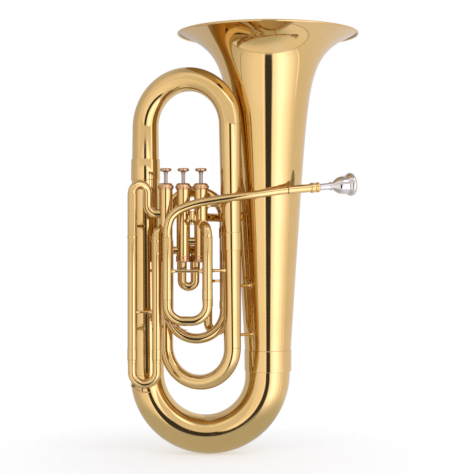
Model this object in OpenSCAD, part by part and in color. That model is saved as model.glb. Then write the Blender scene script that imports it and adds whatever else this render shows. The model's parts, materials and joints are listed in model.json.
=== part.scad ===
// Three-valve upright tuba. Units are millimetres.
// X runs to the right, Y runs away from the valve side, Z is up.
// The origin is the lowest point of the bottom bow.

/* [Bell] */
// Outer radius of the bell at its rim
bell_rim_r = 183; // [178:0.5:184]
// Height of the rim above the lowest point
height = 850; // [845:1:860]
// Outer radius of the bell's throat
bell_throat_r = 44.6; // [44:0.1:45]
// Radius gained by the long cone for each millimetre of height
bell_taper = 0.0633; // [0.06:0.0005:0.065]
// Length that sets how fast the flare dies away below the rim
flare_length = 169; // [160:1:175]
// Exponent of the flare
flare_power = 4.9; // [4.7:0.05:5.1]

/* [Large tubes] */
// Centreline radius of the bottom bow
bottom_bow_radius = 121.3; // [121:0.1:122]
// Tube radius of the bottom bow at the bell
bow_bell_r = 45; // [44.8:0.1:45.2]
// Tube radius of the bottom bow at the left branch
bow_left_r = 33.6; // [33:0.1:34]
// Tube radius at the top of the left branch
left_top_r = 26.3; // [26:0.1:26.6]
// Tube radius at the top of the right branch
right_top_r = 22; // [21.6:0.1:22.4]
// Tube radius at the foot of the right branch
right_foot_r = 16.6; // [16.3:0.1:16.8]
// Tube radius where the second bow meets the inner left leg
second_bow_end_r = 13.2; // [13:0.1:13.4]
// Radius of the inner top bow
inner_bow_r = 11.2; // [11:0.1:11.4]
// Radius of the third bow
third_bow_r = 10.2; // [10:0.1:10.4]
// Wall of the drawn tubes
wall = 0.9; // [0.8:0.05:1]

/* [Valves] */
// Distance between neighbouring valve axes
valve_spacing = 34.5; // [34.3:0.1:34.8]
// Outer radius of a valve casing
casing_r = 13.3; // [13.1:0.05:13.4]
// Radius of a piston
piston_r = 12.05; // [12:0.01:12.06]
// Outer radius of the knurled top cap
top_cap_r = 15.5; // [15.2:0.1:15.8]
// Travel of a valve
travel = 14; // [12:0.5:14]
// Radius of a finger button
button_r = 11.5; // [11:0.1:12]

/* [Slides and small tubes] */
// Outer radius of the outer slide sleeves
sleeve_r = 9.9; // [9.8:0.05:10]
// Outer radius of a sliding bow
slide_bow_r = 9.3; // [9.1:0.05:9.4]
// Outer radius of the valve tubing
port_r = 8.7; // [8.5:0.05:8.8]
// Radial clearance of a slide leg inside its sleeve
slide_gap = 0.06; // [0.03:0.01:0.09]

/* [Mouthpiece] */
// Largest radius of the mouthpiece rim
mouthpiece_r = 23; // [22:0.25:23.5]
// Angle by which the mouthpiece points backwards
mouthpiece_turn = 20; // [18:0.5:21]

/* [Hidden] */
$fn = 48;
gold = "#d9b26a";
silver = "#d8d4cf";

// Plan position of each upright tube, as [x, y]
bell_axis = [122, 0];
left_foot = [-121.3, 0];
left_top = [-125, 0];
right_top = [46, -75];
right_foot = [50.7, -75];
inner_left_foot = [-81, -27];
inner_left_top = [-82.4, -27];
inner_right = [35.8, -45];
third_left = [-76.2, -52];
tuning_left = [-75.5, -108];
tuning_right = [2.1, -108];
third_outer = [-144.5, -95];
third_inner = [-96.9, -95];
third_drop = [-115.6, -78];
second_left = [-49.3, -53.6];
second_right = [-23.6, -53.6];
first_left = [1.5, -22];
first_right = [35.4, -4];
valve_y = -78;
valve_1_x = -11.2;

// Heights
bow_z = 162;
bell_joint_z = 190;
top_bow_z = 659;
ferrule_z = [553, 595];
right_joint_z = 430;
second_bow_z = 220.7;
inner_bow_z = 469;
third_bow_z = 293;
exit_z = 437;
left_branch_z = 573.7;
left_joint_r = 27.9;
right_joint_r = 18.9;
// Each bow ends in a short straight length, and a leaning tube starts just clear of it
bow_end = 3;
lean_gap = 0.3;
// Heights of the tubes that link the valves, and of each valve's ports
knuckle_32_z = 412;
knuckle_21_z = 430;
knuckle_r = 7.7;
tuning_port_z = 461;
first_port_z = [477, 452];
second_port_z = [470, 414];
third_port_z = [484, 451];
// Bend radii of the elbows that lead into the ports
exit_elbow = 12.8;
tuning_elbow = 19;
first_elbow = 14;
second_elbow = [10.8, 13];
third_elbow = [16, 10.4];
// Lower ends of the sleeves, and where the legs of each sliding bow turn
tuning_sleeve_z = 316.4;
tuning_top_z = 437.5;
first_sleeve_z = 300;
first_low = 268;
second_sleeve_z = 374;
second_low = 352.8;
third_sleeve_z = 199;
third_low = 175;
third_arch_z = 524;
casing_z = [392, 541];
top_cap_z = [531.5, 544.3];
bottom_cap_z = [389, 401];
bottom_cap_r = casing_r + 1;
guide_z = 499;
collar_z = 525;
button_z = [565.5, 573.3];
stem_r = 3.6;
collar_r = 9;
// Floor of the bottom cap, on which the pressed piston lands
floor_z = 390.5;
piston_z = [floor_z + travel + 0.4, 494];
bore_r = casing_r - 1.2;
// Hairline joint between two soldered lengths of one tube
seam = 0.02;

// ---- vectors ----
function unit(v) = v / norm(v);
function up(p, z) = [p.x, p.y, z];
function blend(a, b, t) = a + (b - a) * t;
function valve(i) = [valve_1_x - valve_spacing * (i - 1), valve_y];

// ---- straight tubes, bends and swept horns ----
// Moves children so that their +Z runs from a along d
module along(a, d) {
    translate(a)
        rotate([0, acos(d.z / norm(d)), atan2(d.y, d.x)])
            children();
}

// A straight tube from a to b, outer radius ra at a and rb at b
module pipe(a, b, ra, rb, thick = wall) {
    h = norm(b - a);
    rate = (rb - ra) / h;
    along(a, b - a)
        difference() {
            cylinder(h = h, r1 = ra, r2 = rb);
            translate([0, 0, -1])
                cylinder(h = h + 2, r1 = ra - thick - rate, r2 = rb - thick + rate);
        }
}

// A solid rod from a to b
module rod(a, b, r) {
    along(a, b - a)
        cylinder(h = norm(b - a), r = r);
}

// A bend about centre c that starts at c + u and turns towards v
module bend(c, u, v, radius, sweep, r, thick = wall) {
    w = cross(u, v);
    multmatrix([[u.x, v.x, w.x, c.x], [u.y, v.y, w.y, c.y], [u.z, v.z, w.z, c.z], [0, 0, 0, 1]])
        rotate_extrude(angle = sweep)
            translate([radius, 0])
                difference() {
                    circle(r = r);
                    circle(r = r - thick);
                }
}

// A half turn between two upright tubes, over the top when lift is 1, below when lift is -1
module u_bow(p, q, z, lift, r, thick = wall) {
    mid = (p + q) / 2;
    out = unit(p - mid);
    bend(up(mid, z + lift * seam), up(out, 0), [0, 0, lift], norm(p - mid), 180, r, thick);
}

// A swept tube through path, with one outer radius for each point
module horn(path, radii, ref, sides = 28, thick = wall) {
    n = len(path);
    tangent = [for (i = [0:n - 1]) unit(path[min(i + 1, n - 1)] - path[max(i - 1, 0)])];
    side = [for (t = tangent) unit(cross(t, ref))];
    lift = [for (i = [0:n - 1]) cross(side[i], tangent[i])];
    points = [for (shell = [0, thick]) for (i = [0:n - 1]) for (k = [0:sides - 1])
        path[i] + (radii[i] - shell)
            * (cos(360 * k / sides) * side[i] + sin(360 * k / sides) * lift[i])];
    inner = n * sides;
    skin = [for (i = [0:n - 2]) for (k = [0:sides - 1]) let (m = (k + 1) % sides)
        [i * sides + k, (i + 1) * sides + k, (i + 1) * sides + m, i * sides + m]];
    lining = [for (f = skin) [f[3] + inner, f[2] + inner, f[1] + inner, f[0] + inner]];
    first = [for (k = [0:sides - 1]) let (m = (k + 1) % sides)
        [k, m, m + inner, k + inner]];
    last = [for (f = first) [for (j = [3:-1:0]) f[j] + (n - 1) * sides]];
    polyhedron(points = points, faces = concat(skin, lining, first, last));
}

// Points of a half turn between two upright tubes
function arc_points(p, q, z, lift, steps) = let (mid = (p + q) / 2, reach = (p - q) / 2)
    [for (i = [0:steps]) let (a = 180 * i / steps)
        up(mid + reach * cos(a), z + lift * norm(reach) * sin(a))];

// Radii that change evenly from ra to rb
function even_radii(ra, rb, steps) = [for (i = [0:steps]) blend(ra, rb, i / steps)];

// A quarter bend from an upright tube at p to the level tube that heads for q at height z
module elbow(p, q, z, radius, r, from_below = true, thick = wall) {
    h = unit(q - p);
    drop = from_below ? -radius : radius;
    bend(up(p + h * radius, z + drop), up(-h, 0), [0, 0, from_below ? 1 : -1], radius, 90, r, thick);
}

// A level tube from plan point p to the wall of casing i, cut to the casing's curve
module stub(p, i, z, r, thick = wall) {
    q = valve(i);
    difference() {
        pipe(up(p + unit(q - p) * seam, z), up(q - unit(q - p) * 5, z), r, r, thick);
        translate(up(q, z - 30))
            cylinder(h = 60, r = casing_r + 0.02);
    }
}

// ---- bell and large tubes ----
function bell_r(z) = bell_throat_r + bell_taper * (z - 185)
    + (bell_rim_r - bell_throat_r - bell_taper * (height - 185))
    * pow(flare_length / (height - z + flare_length), flare_power);

// Height where the bell's sheet meets the rim wire, and where its flare is brazed to its stem
bell_edge_z = height - 1.75;
flare_z = 690;
bell_wall = 1;
// Heights crowd together towards the top, where the curve is tighter
function crowded(top, low, steps) = [for (i = [0:steps]) blend(top, low, pow(i / steps, 1.6))];
function bell_slope(z) = (bell_r(z) - bell_r(z - 0.1)) / 0.1;
function bell_inner_r(z) = bell_r(z) - bell_wall * sqrt(1 + pow(bell_slope(z), 2));

// Outer radius of whatever must clear the bell's skin at height z
function bell_seat(z) = bell_r(z + 9) + 0.1;

module bell_length(heights) {
    outside = [for (z = heights) [bell_r(z), z]];
    inside = [for (i = [len(heights) - 1:-1:0]) [bell_inner_r(heights[i]), heights[i]]];
    rotate_extrude($fn = 96)
        polygon(concat(outside, inside));
}

module bell() {
    color(gold)
        translate(up(bell_axis, 0)) {
            bell_length(crowded(bell_edge_z, flare_z, 28));
            bell_length(crowded(flare_z - seam, bell_joint_z, 16));
        }
}

// The wire has a narrow flat land on top, on which the bell stands when it is put down
module bell_rim_wire() {
    r = 2.4;
    color(gold)
        translate(up(bell_axis, 0))
            rotate_extrude($fn = 96)
                union() {
                    translate([bell_rim_r - r, height - r])
                        circle(r = r, $fn = 32);
                    translate([bell_rim_r - 1.5 * r, height - r])
                        square(r);
                }
}

module bell_ferrule() {
    color(gold)
        translate(up(bell_axis, 168.4))
            difference() {
                cylinder(h = 42.6, r1 = 47.1, r2 = 47.6);
                translate([0, 0, -1])
                    cylinder(h = 45, r = 46.4);
            }
}

module bottom_bow() {
    start = [bottom_bow_radius, 0];
    steps = 28;
    color(gold)
        horn([up(start, bell_joint_z - seam), each arc_points(start, -start, bow_z, -1, steps),
            up(-start, bow_z + bow_end)],
            [bow_bell_r, each even_radii(bow_bell_r, bow_left_r, steps), bow_left_r], [0, 1, 0], 32);
}

// Axis and radius of the two long branches at height z
function left_axis(z) = blend(left_foot, left_top, (z - bow_z) / (left_branch_z - bow_z));
function left_r(z) = blend(bow_left_r, left_joint_r, (z - bow_z) / (left_branch_z - bow_z));
function right_axis(z) = blend(right_top, right_foot, (top_bow_z - z) / (top_bow_z - second_bow_z));
function right_r(z) = z > right_joint_z
    ? blend(right_joint_r, right_top_r, (z - right_joint_z) / (top_bow_z - right_joint_z))
    : blend(right_foot_r, right_joint_r, (z - second_bow_z) / (right_joint_z - second_bow_z));

module left_branch() {
    color(gold)
        pipe(up(left_foot, bow_z + bow_end + lean_gap), up(left_top, left_branch_z),
            bow_left_r, left_joint_r);
}

module left_ferrule() {
    color(gold)
        along(up(left_axis(ferrule_z[0]), ferrule_z[0]), up(left_top - left_foot, left_branch_z - bow_z))
            difference() {
                cylinder(h = ferrule_z[1] - ferrule_z[0], r1 = 29.6, r2 = 29);
                translate([0, 0, -1])
                    cylinder(h = ferrule_z[1] - ferrule_z[0] + 2, r = 28.4);
            }
}

module top_bow() {
    steps = 26;
    color(gold)
        horn([up(left_top, left_branch_z + 2 * lean_gap),
            each arc_points(left_top, right_top, top_bow_z, 1, steps),
            up(right_top, top_bow_z - bow_end)],
            [left_joint_r - 0.5, each even_radii(left_top_r, right_top_r, steps), right_top_r],
            up(unit([75, 171]), 0), 28);
}

module right_branch() {
    color(gold) {
        pipe(up(right_top, top_bow_z - bow_end - lean_gap),
            up(right_axis(right_joint_z), right_joint_z + 0.2),
            right_top_r, right_joint_r);
        pipe(up(right_axis(right_joint_z), right_joint_z),
            up(right_foot, second_bow_z + bow_end + lean_gap),
            right_joint_r, right_foot_r);
    }
}

module right_ferrule() {
    color(gold)
        along(up(right_axis(447), 447), up(right_foot - right_top, second_bow_z - top_bow_z))
            difference() {
                cylinder(h = 35, r = 20.3);
                translate([0, 0, -1])
                    cylinder(h = 37, r = 19.5);
            }
}

module second_bow() {
    steps = 26;
    color(gold)
        horn([up(right_foot, second_bow_z + bow_end),
            each arc_points(right_foot, inner_left_foot, second_bow_z, -1, steps),
            up(inner_left_foot, second_bow_z + bow_end)],
            [right_foot_r, each even_radii(right_foot_r, second_bow_end_r, steps), second_bow_end_r],
            up(unit([-48, -131.7]), 0), 24);
}

module inner_left_leg() {
    color(gold)
        pipe(up(inner_left_foot, second_bow_z + bow_end + lean_gap), up(inner_left_top, inner_bow_z - 0.1),
            second_bow_end_r, inner_bow_r);
}

module inner_top_bow() {
    color(gold)
        u_bow(inner_left_top, inner_right, inner_bow_z, 1, inner_bow_r);
}

module inner_right_leg() {
    color(gold)
        pipe(up(inner_right, inner_bow_z), up(inner_right, third_bow_z), inner_bow_r, third_bow_r);
}

module third_bow() {
    color(gold)
        u_bow(inner_right, third_left, third_bow_z, -1, third_bow_r);
}

module valve_exit_tube() {
    top = exit_z - exit_elbow;
    h = unit(valve(3) - third_left);
    color(gold) {
        pipe(up(third_left, third_bow_z), up(third_left, top - seam), third_bow_r, third_bow_r);
        elbow(third_left, valve(3), exit_z, exit_elbow, third_bow_r);
        stub(third_left + h * exit_elbow, 3, exit_z, third_bow_r);
    }
}

// ---- valves ----
// Ports of each casing as [heading, height, radius of the tube]
ports = [
    [[-66.1, tuning_port_z, sleeve_r - 1], [180, knuckle_21_z, knuckle_r],
        [57.8, first_port_z[0], port_r], [77.2, first_port_z[1], port_r]],
    [[0, knuckle_21_z, knuckle_r], [180, knuckle_32_z, knuckle_r],
        [97.9, second_port_z[0], port_r], [47.6, second_port_z[1], port_r]],
    [[0, knuckle_32_z, knuckle_r], [81, exit_z, third_bow_r],
        [180, third_port_z[0], port_r], [-134.3, third_port_z[1], port_r]]
];

module valve_casing(i) {
    color(gold)
        translate(up(valve(i), 0))
            difference() {
                translate([0, 0, casing_z[0]])
                    cylinder(h = casing_z[1] - casing_z[0], r = casing_r);
                translate([0, 0, casing_z[0] - 1])
                    cylinder(h = casing_z[1] - casing_z[0] + 2, r = bore_r);
                for (p = ports[i - 1])
                    translate([0, 0, p[1]])
                        rotate([0, 90, p[0]])
                            cylinder(h = casing_r + 5, r = p[2] - 1.6);
            }
}

module knuckles() {
    color(gold)
        for (k = [[1, knuckle_21_z], [2, knuckle_32_z]])
            difference() {
                pipe(up(valve(k[0]), k[1]), up(valve(k[0] + 1), k[1]), knuckle_r, knuckle_r);
                for (i = [k[0], k[0] + 1])
                    translate(up(valve(i), k[1] - 20))
                        cylinder(h = 40, r = casing_r + 0.02);
            }
}

module top_cap(i) {
    color(gold)
        translate(up(valve(i), 0))
            difference() {
                rotate_extrude()
                    polygon([[0, top_cap_z[0]], [top_cap_r - 0.9, top_cap_z[0]],
                        [top_cap_r, top_cap_z[0] + 1.2], [top_cap_r, top_cap_z[1] - 5],
                        [top_cap_r - 3.6, top_cap_z[1]], [0, top_cap_z[1]]]);
                translate([0, 0, top_cap_z[0] - 1])
                    cylinder(h = casing_z[1] - top_cap_z[0] + 1.02, r = casing_r + 0.05);
                translate([0, 0, top_cap_z[0]])
                    cylinder(h = 20, r = stem_r + 0.4);
                for (k = [0:35])
                    rotate([0, 0, 10 * k])
                        translate([top_cap_r + 0.3, 0, top_cap_z[0] - 1])
                            cylinder(h = 9, r = 0.7, $fn = 4);
            }
}

module bottom_cap(i) {
    color(gold)
        translate(up(valve(i), 0))
            difference() {
                rotate_extrude()
                    polygon([[0, 388.2], [3, 388.2], [4, bottom_cap_z[0]],
                        [casing_r, bottom_cap_z[0]], [bottom_cap_r, bottom_cap_z[0] + 1.4],
                        [bottom_cap_r, bottom_cap_z[1]], [0, bottom_cap_z[1]]]);
                translate([0, 0, casing_z[0] - 0.02])
                    cylinder(h = 20, r = casing_r + 0.05);
                translate([0, 0, floor_z])
                    cylinder(h = 20, r = bore_r);
                translate([0, 0, 380])
                    cylinder(h = 20, r = 1.6);
            }
}

module cap_felts() {
    color("white")
        for (i = [1:3])
            translate(up(valve(i), collar_z + 3.1))
                difference() {
                    cylinder(h = casing_z[1] - collar_z - 3.2, r = collar_r);
                    translate([0, 0, -1])
                        cylinder(h = 20, r = stem_r + 0.5);
                }
}

module valve_guides() {
    color(silver)
        for (i = [1:3])
            translate(up(valve(i), guide_z))
                difference() {
                    cylinder(h = 3, r = bore_r - 0.02);
                    translate([0, 0, -1])
                        cylinder(h = 6, r = stem_r + 0.4);
                    for (a = [0:120:240])
                        rotate([0, 0, a])
                            translate([8, 0, -1])
                                cylinder(h = 6, r = 2);
                }
}

// A piston with its passages: level at rest, and a travel higher for when it is pressed
module piston(i) {
    p = ports[i - 1];
    holes = [p[0], p[1], for (k = p) [k[0], k[1] + travel, 0]];
    color(silver)
        translate(up(valve(i), 0)) {
            difference() {
                translate([0, 0, piston_z[0]])
                    cylinder(h = piston_z[1] - piston_z[0], r = piston_r);
                for (h = holes)
                    translate([0, 0, h[1]])
                        rotate([0, 90, h[0]])
                            cylinder(h = 30, r = 5.6);
                for (d = [0, travel])
                    translate([0, 0, min(p[0][1], p[1][1]) + d])
                        cylinder(h = abs(p[0][1] - p[1][1]) + 0.01, r = 4);
                translate([0, 0, piston_z[0] - 1])
                    cylinder(h = 2.5, r = 10);
            }
            translate([0, 0, piston_z[1]])
                cylinder(h = button_z[0] - piston_z[1], r = stem_r);
            translate([0, 0, collar_z])
                cylinder(h = 3, r = collar_r);
        }
}

module finger_button(i) {
    color("#c99a74")
        translate(up(valve(i), 0))
            rotate_extrude()
                polygon([[0, button_z[0] + 0.02], [5, button_z[0] + 0.02],
                    [6, button_z[0] + 2.2], [button_r - 1.4, button_z[0] + 2.6],
                    [button_r, button_z[0] + 3.8], [button_r, button_z[1] - 2.2],
                    [button_r - 1.2, button_z[1] - 0.8], [button_r - 3, button_z[1]],
                    [6, button_z[1] - 0.4], [0, button_z[1] - 0.6]]);
}

// The turns of a coil spring as stacked rings joined by short posts
module ring_spring(z0, z1, r, wire, turns) {
    pitch = (z1 - z0 - 2 * wire) / (turns - 1);
    for (k = [0:turns - 1])
        translate([0, 0, z0 + wire + pitch * k])
            rotate_extrude()
                translate([r, 0])
                    circle(r = wire, $fn = 16);
    for (k = [0:turns - 2])
        rotate([0, 0, 140 * k])
            translate([r, 0, z0 + wire + pitch * k])
                cylinder(h = pitch, r = wire * 0.7);
}

module valve_spring(i) {
    color("silver")
        translate(up(valve(i), 0))
            ring_spring(guide_z + 3.05, collar_z - 0.05, 7, 0.6, 7);
}

// ---- leadpipe, receiver and mouthpiece ----
// Hand-laid points of the leadpipe, from the tuning slide to the receiver
lead_route = [[-75.5, -108, 437.5], [-75.5, -108, 452], [-69.8, -108, 474], [-57.5, -108, 487.5],
    [-41, -108, 496], [-12, -108, 505], [25, -108, 511.5], [60, -107.6, 516.5],
    [95, -105, 521], [128, -99.5, 525.8], [157.5, -91.5, 529.8]];
lead_radii = [8.9, 8.8, 8.6, 8.5, 8.4, 8.2, 8, 7.8, 7.6, 7.4, 7.2];
lead_steps = 4;
function spline(a, b, c, d, t) = 0.5 * (2 * b + (c - a) * t + (2 * a - 5 * b + 4 * c - d) * t * t
    + (3 * b - a - 3 * c + d) * t * t * t);
lead_count = len(lead_route);
lead_path = [for (i = [0:lead_count - 2]) for (k = [0:lead_steps - 1])
    spline(lead_route[max(i - 1, 0)], lead_route[i], lead_route[i + 1],
        lead_route[min(i + 2, lead_count - 1)], k / lead_steps), lead_route[lead_count - 1]];
lead_path_radii = [for (i = [0:lead_count - 2]) for (k = [0:lead_steps - 1])
    blend(lead_radii[i], lead_radii[i + 1], k / lead_steps), lead_radii[lead_count - 1]];
receiver_start = [157.2, -91.6, 529.8];
mouth_dir = unit([cos(mouthpiece_turn), sin(mouthpiece_turn), 0.103 * cos(mouthpiece_turn)]);

module leadpipe() {
    color(gold)
        horn(lead_path, lead_path_radii, [0, 1, 0], 16);
}

module mouthpiece_receiver() {
    color(gold)
        along(receiver_start, mouth_dir)
            difference() {
                rotate_extrude()
                    polygon([[0, 1], [7.6, 1], [8.1, 1.8], [8.1, 48], [9, 49.5], [10.1, 51.5],
                        [10.1, 58], [8.9, 60], [8.9, 62], [10.1, 63.5], [10.1, 66.5], [9.2, 68], [0, 68]]);
                translate([0, 0, -1])
                    cylinder(h = 80, r = 5.6);
                translate([0, 0, 30])
                    cylinder(h = 60, r1 = 5.905, r2 = 7.01);
            }
}

module mouthpiece() {
    k = mouthpiece_r / 23;
    color(silver)
        along(receiver_start, mouth_dir)
            rotate_extrude()
                polygon([[4, 33], [5.9, 33], [6.55, 68.3], [6.95, 91], [7.1, 92], [8.3, 93],
                    [8.3, 94.6], [7.2, 95.6], [7.3, 97.5], [10 * k, 101.5], [15.2 * k, 108.5],
                    [17.1 * k, 115], [18 * k, 121.6], [18.6 * k, 127.4], [20.6 * k, 129.8],
                    [22.4 * k, 132.8], [mouthpiece_r, 136.2], [22.6 * k, 139], [21.2 * k, 141.2],
                    [19.2 * k, 142.2], [17.4 * k, 141.2], [16.2 * k, 138.4], [15.6 * k, 134],
                    [15 * k, 126], [13.4 * k, 117], [10 * k, 109], [6 * k, 104], [3.6, 100]]);
}

// ---- slides ----
// Two upright sleeves from low to the given tops, with a reinforcing band at each lower end
module sleeve_pair(p, q, low, tops, r) {
    for (s = [[p, tops[0]], [q, tops[1]]]) {
        pipe(up(s[0], low), up(s[0], s[1]), r, r);
        difference() {
            translate(up(s[0], low))
                cylinder(h = 21, r = r + 0.5);
            translate(up(s[0], low - 1))
                cylinder(h = 23, r = r);
        }
    }
}

// A sliding bow with two legs that run inside the sleeves
module sliding_legs(p, q, low, high, shoulder, r, leg_r) {
    for (s = [p, q]) {
        pipe(up(s, shoulder), up(s, high), leg_r, leg_r);
        difference() {
            translate(up(s, low))
                cylinder(h = shoulder - low, r = r);
            translate(up(s, low - 1))
                cylinder(h = shoulder - low + 2, r = leg_r - wall);
        }
    }
}

leg_r = sleeve_r - wall - slide_gap;
return_r = sleeve_r - 1;
port_sleeve_r = port_r + 0.7;
port_leg_r = port_sleeve_r - wall - slide_gap;
tuning_corner = 31;
tuning_z = 306;

module tuning_sleeves() {
    color(gold)
        sleeve_pair(tuning_left, tuning_right, tuning_sleeve_z, (tuning_top_z - 0.2) * [1, 1],
            sleeve_r);
}

module tuning_return_tube() {
    h = unit(valve(1) - tuning_right);
    color(gold) {
        pipe(up(tuning_right, tuning_top_z), up(tuning_right, tuning_port_z - tuning_elbow - seam),
            return_r, return_r);
        elbow(tuning_right, valve(1), tuning_port_z, tuning_elbow, return_r);
        stub(tuning_right + h * tuning_elbow, 1, tuning_port_z, return_r);
    }
}

module tuning_slide() {
    left = tuning_left + [tuning_corner, 0];
    right = tuning_right - [tuning_corner, 0];
    color(gold)
        difference() {
            union() {
                sliding_legs(tuning_left, tuning_right, tuning_z, 405, tuning_sleeve_z - 0.2,
                    slide_bow_r, leg_r);
                bend(up(left, tuning_z), [-1, 0, 0], [0, 0, -1], tuning_corner, 90, slide_bow_r);
                bend(up(right, tuning_z), [1, 0, 0], [0, 0, -1], tuning_corner, 90, slide_bow_r);
                pipe(up(left, tuning_z - tuning_corner), up(right, tuning_z - tuning_corner),
                    slide_bow_r, slide_bow_r);
                water_nipple(tuning_key);
            }
            water_hole(tuning_key);
        }
}

module first_slide_tubes() {
    h = unit(valve(1) - first_right);
    g = unit(valve(1) - first_left);
    color(gold) {
        sleeve_pair(first_left, first_right, first_sleeve_z,
            [for (k = [1, 0]) first_port_z[k] - first_elbow - seam], port_sleeve_r);
        elbow(first_right, valve(1), first_port_z[0], first_elbow, port_r);
        stub(first_right + h * first_elbow, 1, first_port_z[0], port_r);
        elbow(first_left, valve(1), first_port_z[1], first_elbow, port_r);
        stub(first_left + g * first_elbow, 1, first_port_z[1], port_r);
    }
}

module first_slide() {
    color(gold) {
        sliding_legs(first_left, first_right, first_low, 380, first_sleeve_z - 0.2, port_r, port_leg_r);
        u_bow(first_left, first_right, first_low, -1, port_r);
    }
}

module second_slide_tubes() {
    h = unit(valve(2) - second_left);
    g = unit(valve(2) - second_right);
    color(gold) {
        sleeve_pair(second_left, second_right, second_sleeve_z,
            [for (k = [0, 1]) second_port_z[k] - second_elbow[k] - seam], port_sleeve_r);
        elbow(second_left, valve(2), second_port_z[0], second_elbow[0], port_r);
        stub(second_left + h * second_elbow[0], 2, second_port_z[0], port_r);
        elbow(second_right, valve(2), second_port_z[1], second_elbow[1], port_r);
        stub(second_right + g * second_elbow[1], 2, second_port_z[1], port_r);
    }
}

module second_slide() {
    color(gold) {
        sliding_legs(second_left, second_right, second_low, 400, second_sleeve_z - 0.2, port_r, port_leg_r);
        u_bow(second_left, second_right, second_low, -1, port_r);
    }
}

module third_slide_tubes() {
    h = unit(valve(3) - third_inner);
    g = unit(valve(3) - third_drop);
    color(gold) {
        sleeve_pair(third_outer, third_inner, third_sleeve_z,
            [third_arch_z - seam, third_port_z[1] - third_elbow[1] - seam], port_sleeve_r);
        u_bow(third_outer, third_drop, third_arch_z, 1, port_r);
        pipe(up(third_drop, third_arch_z - seam), up(third_drop, third_port_z[0] + third_elbow[0] + seam),
            port_r, port_r);
        elbow(third_drop, valve(3), third_port_z[0], third_elbow[0], port_r, false);
        stub(third_drop + g * third_elbow[0], 3, third_port_z[0], port_r);
        elbow(third_inner, valve(3), third_port_z[1], third_elbow[1], port_r);
        stub(third_inner + h * third_elbow[1], 3, third_port_z[1], port_r);
    }
}

module third_slide() {
    color(gold)
        difference() {
            union() {
                sliding_legs(third_outer, third_inner, third_low, 320, third_sleeve_z - 0.2,
                    port_r, port_leg_r);
                u_bow(third_outer, third_inner, third_low, -1, port_r);
                water_nipple(third_key);
            }
            water_hole(third_key);
        }
}

// ---- braces ----
foot_height = 1.6;
foot_sink = 1.5;

// A rod with a round foot at each end, sunk into the tube's outline before it is trimmed
module brace(a, b, r, foot) {
    d = unit(b - a);
    rod(a, b, r);
    rod(a, a + d * foot_height, foot);
    rod(b - d * foot_height, b, foot);
}

// A brace at height z between tubes at p and q, trimmed to their radii; children trim it further
module tube_brace(p, q, z, rp, rq, r, foot) {
    d = unit(q - p);
    difference() {
        brace(up(p + d * (rp - foot_sink), z), up(q - d * (rq - foot_sink), z), r, foot);
        for (t = [[p, rp], [q, rq]])
            translate(up(t[0], z - 20))
                cylinder(h = 40, r = t[1]);
        children();
    }
}

// A brace that ends on the long right branch
module right_brace(p, z, rp, r, foot) {
    tube_brace(p, right_axis(z), z, rp, right_r(z) + 0.3, r, foot)
        children();
}

// A brace that ends on the long left branch
module left_brace(p, z, rp, r, foot) {
    tube_brace(p, left_axis(z), z, rp, left_r(z) + 0.3, r, foot);
}

// A brace that ends on the bell
module bell_brace(p, z, rp, r, foot) {
    tube_brace(p, bell_axis, z, rp, bell_seat(z), r, foot)
        children();
}

skin_gap = 0.05;
tuning_skin = sleeve_r + skin_gap;
port_skin = port_sleeve_r + skin_gap;

module front_braces() {
    color(gold) {
        tube_brace(tuning_left, tuning_right, 372, tuning_skin, tuning_skin, 3, 6);
        right_brace(tuning_right, 373, tuning_skin, 3, 6);
        tube_brace(third_outer, third_inner, 292, port_skin, port_skin, 2.6, 5);
    }
}

module body_braces() {
    // Where the leadpipe and the receiver are held
    lead_hold = lead_route[7];
    lead_way = lead_route[8] - lead_route[6];
    receiver_hold = receiver_start + mouth_dir * 14.7;
    color(gold) {
        bell_brace(right_axis(342), 342, right_r(342) + 0.3, 3, 8);
        bell_brace(right_axis(245), 245, right_r(245) + 0.3, 3, 8);
        bell_brace([receiver_hold.x, receiver_hold.y], receiver_hold.z, 8.1, 3, 8)
            rod(receiver_hold - mouth_dir * 12, receiver_hold + mouth_dir * 12, 8.1 + skin_gap);
        right_brace([lead_hold.x, lead_hold.y], lead_hold.z, 7.8, 4, 6)
            rod(lead_hold - unit(lead_way) * 12, lead_hold + unit(lead_way) * 12, 8.1);
        left_brace(third_outer, 460, port_skin, 3, 7);
        left_brace(third_outer, 257, port_skin, 3, 7);
        left_brace(inner_left_top, 400, 12, 3, 7);
        right_brace(inner_right, 330, 10.9, 3, 6);
        tube_brace(first_left, first_right, 350, port_skin, port_skin, 2.6, 5);
        bell_brace(first_right, 400, port_skin, 3, 7);
        right_brace(valve(1), 500, casing_r + skin_gap, 3, 7);
    }
}

// ---- lyre holder ----
lyre_at = [-28.4, -99];
lyre_z = [462, 489];
lyre_screw_z = 470;
lyre_bore_r = 3.25;

module lyre_holder() {
    color(gold)
        difference() {
            union() {
                translate(up(lyre_at, lyre_z[0]))
                    cylinder(h = lyre_z[1] - lyre_z[0], r = 5);
                translate(up(lyre_at - [3, 0], 466))
                    cube([6, 12, 18]);
                translate([lyre_at.x - 7.8, lyre_at.y + 11, 466])
                    cube([15.6, 1.6, 18]);
                along([lyre_at.x, lyre_at.y - 8, lyre_screw_z], [0, 1, 0])
                    cylinder(h = 8, r = 3.6);
            }
            translate(up(lyre_at, lyre_z[0] - 1))
                cylinder(h = 32, r = lyre_bore_r);
            along([lyre_at.x, lyre_at.y - 9, lyre_screw_z], [0, 1, 0])
                cylinder(h = 9, r = 1.85);
            for (i = [1, 2])
                translate(up(valve(i), 450))
                    cylinder(h = 60, r = casing_r + 0.05);
        }
}

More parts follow.
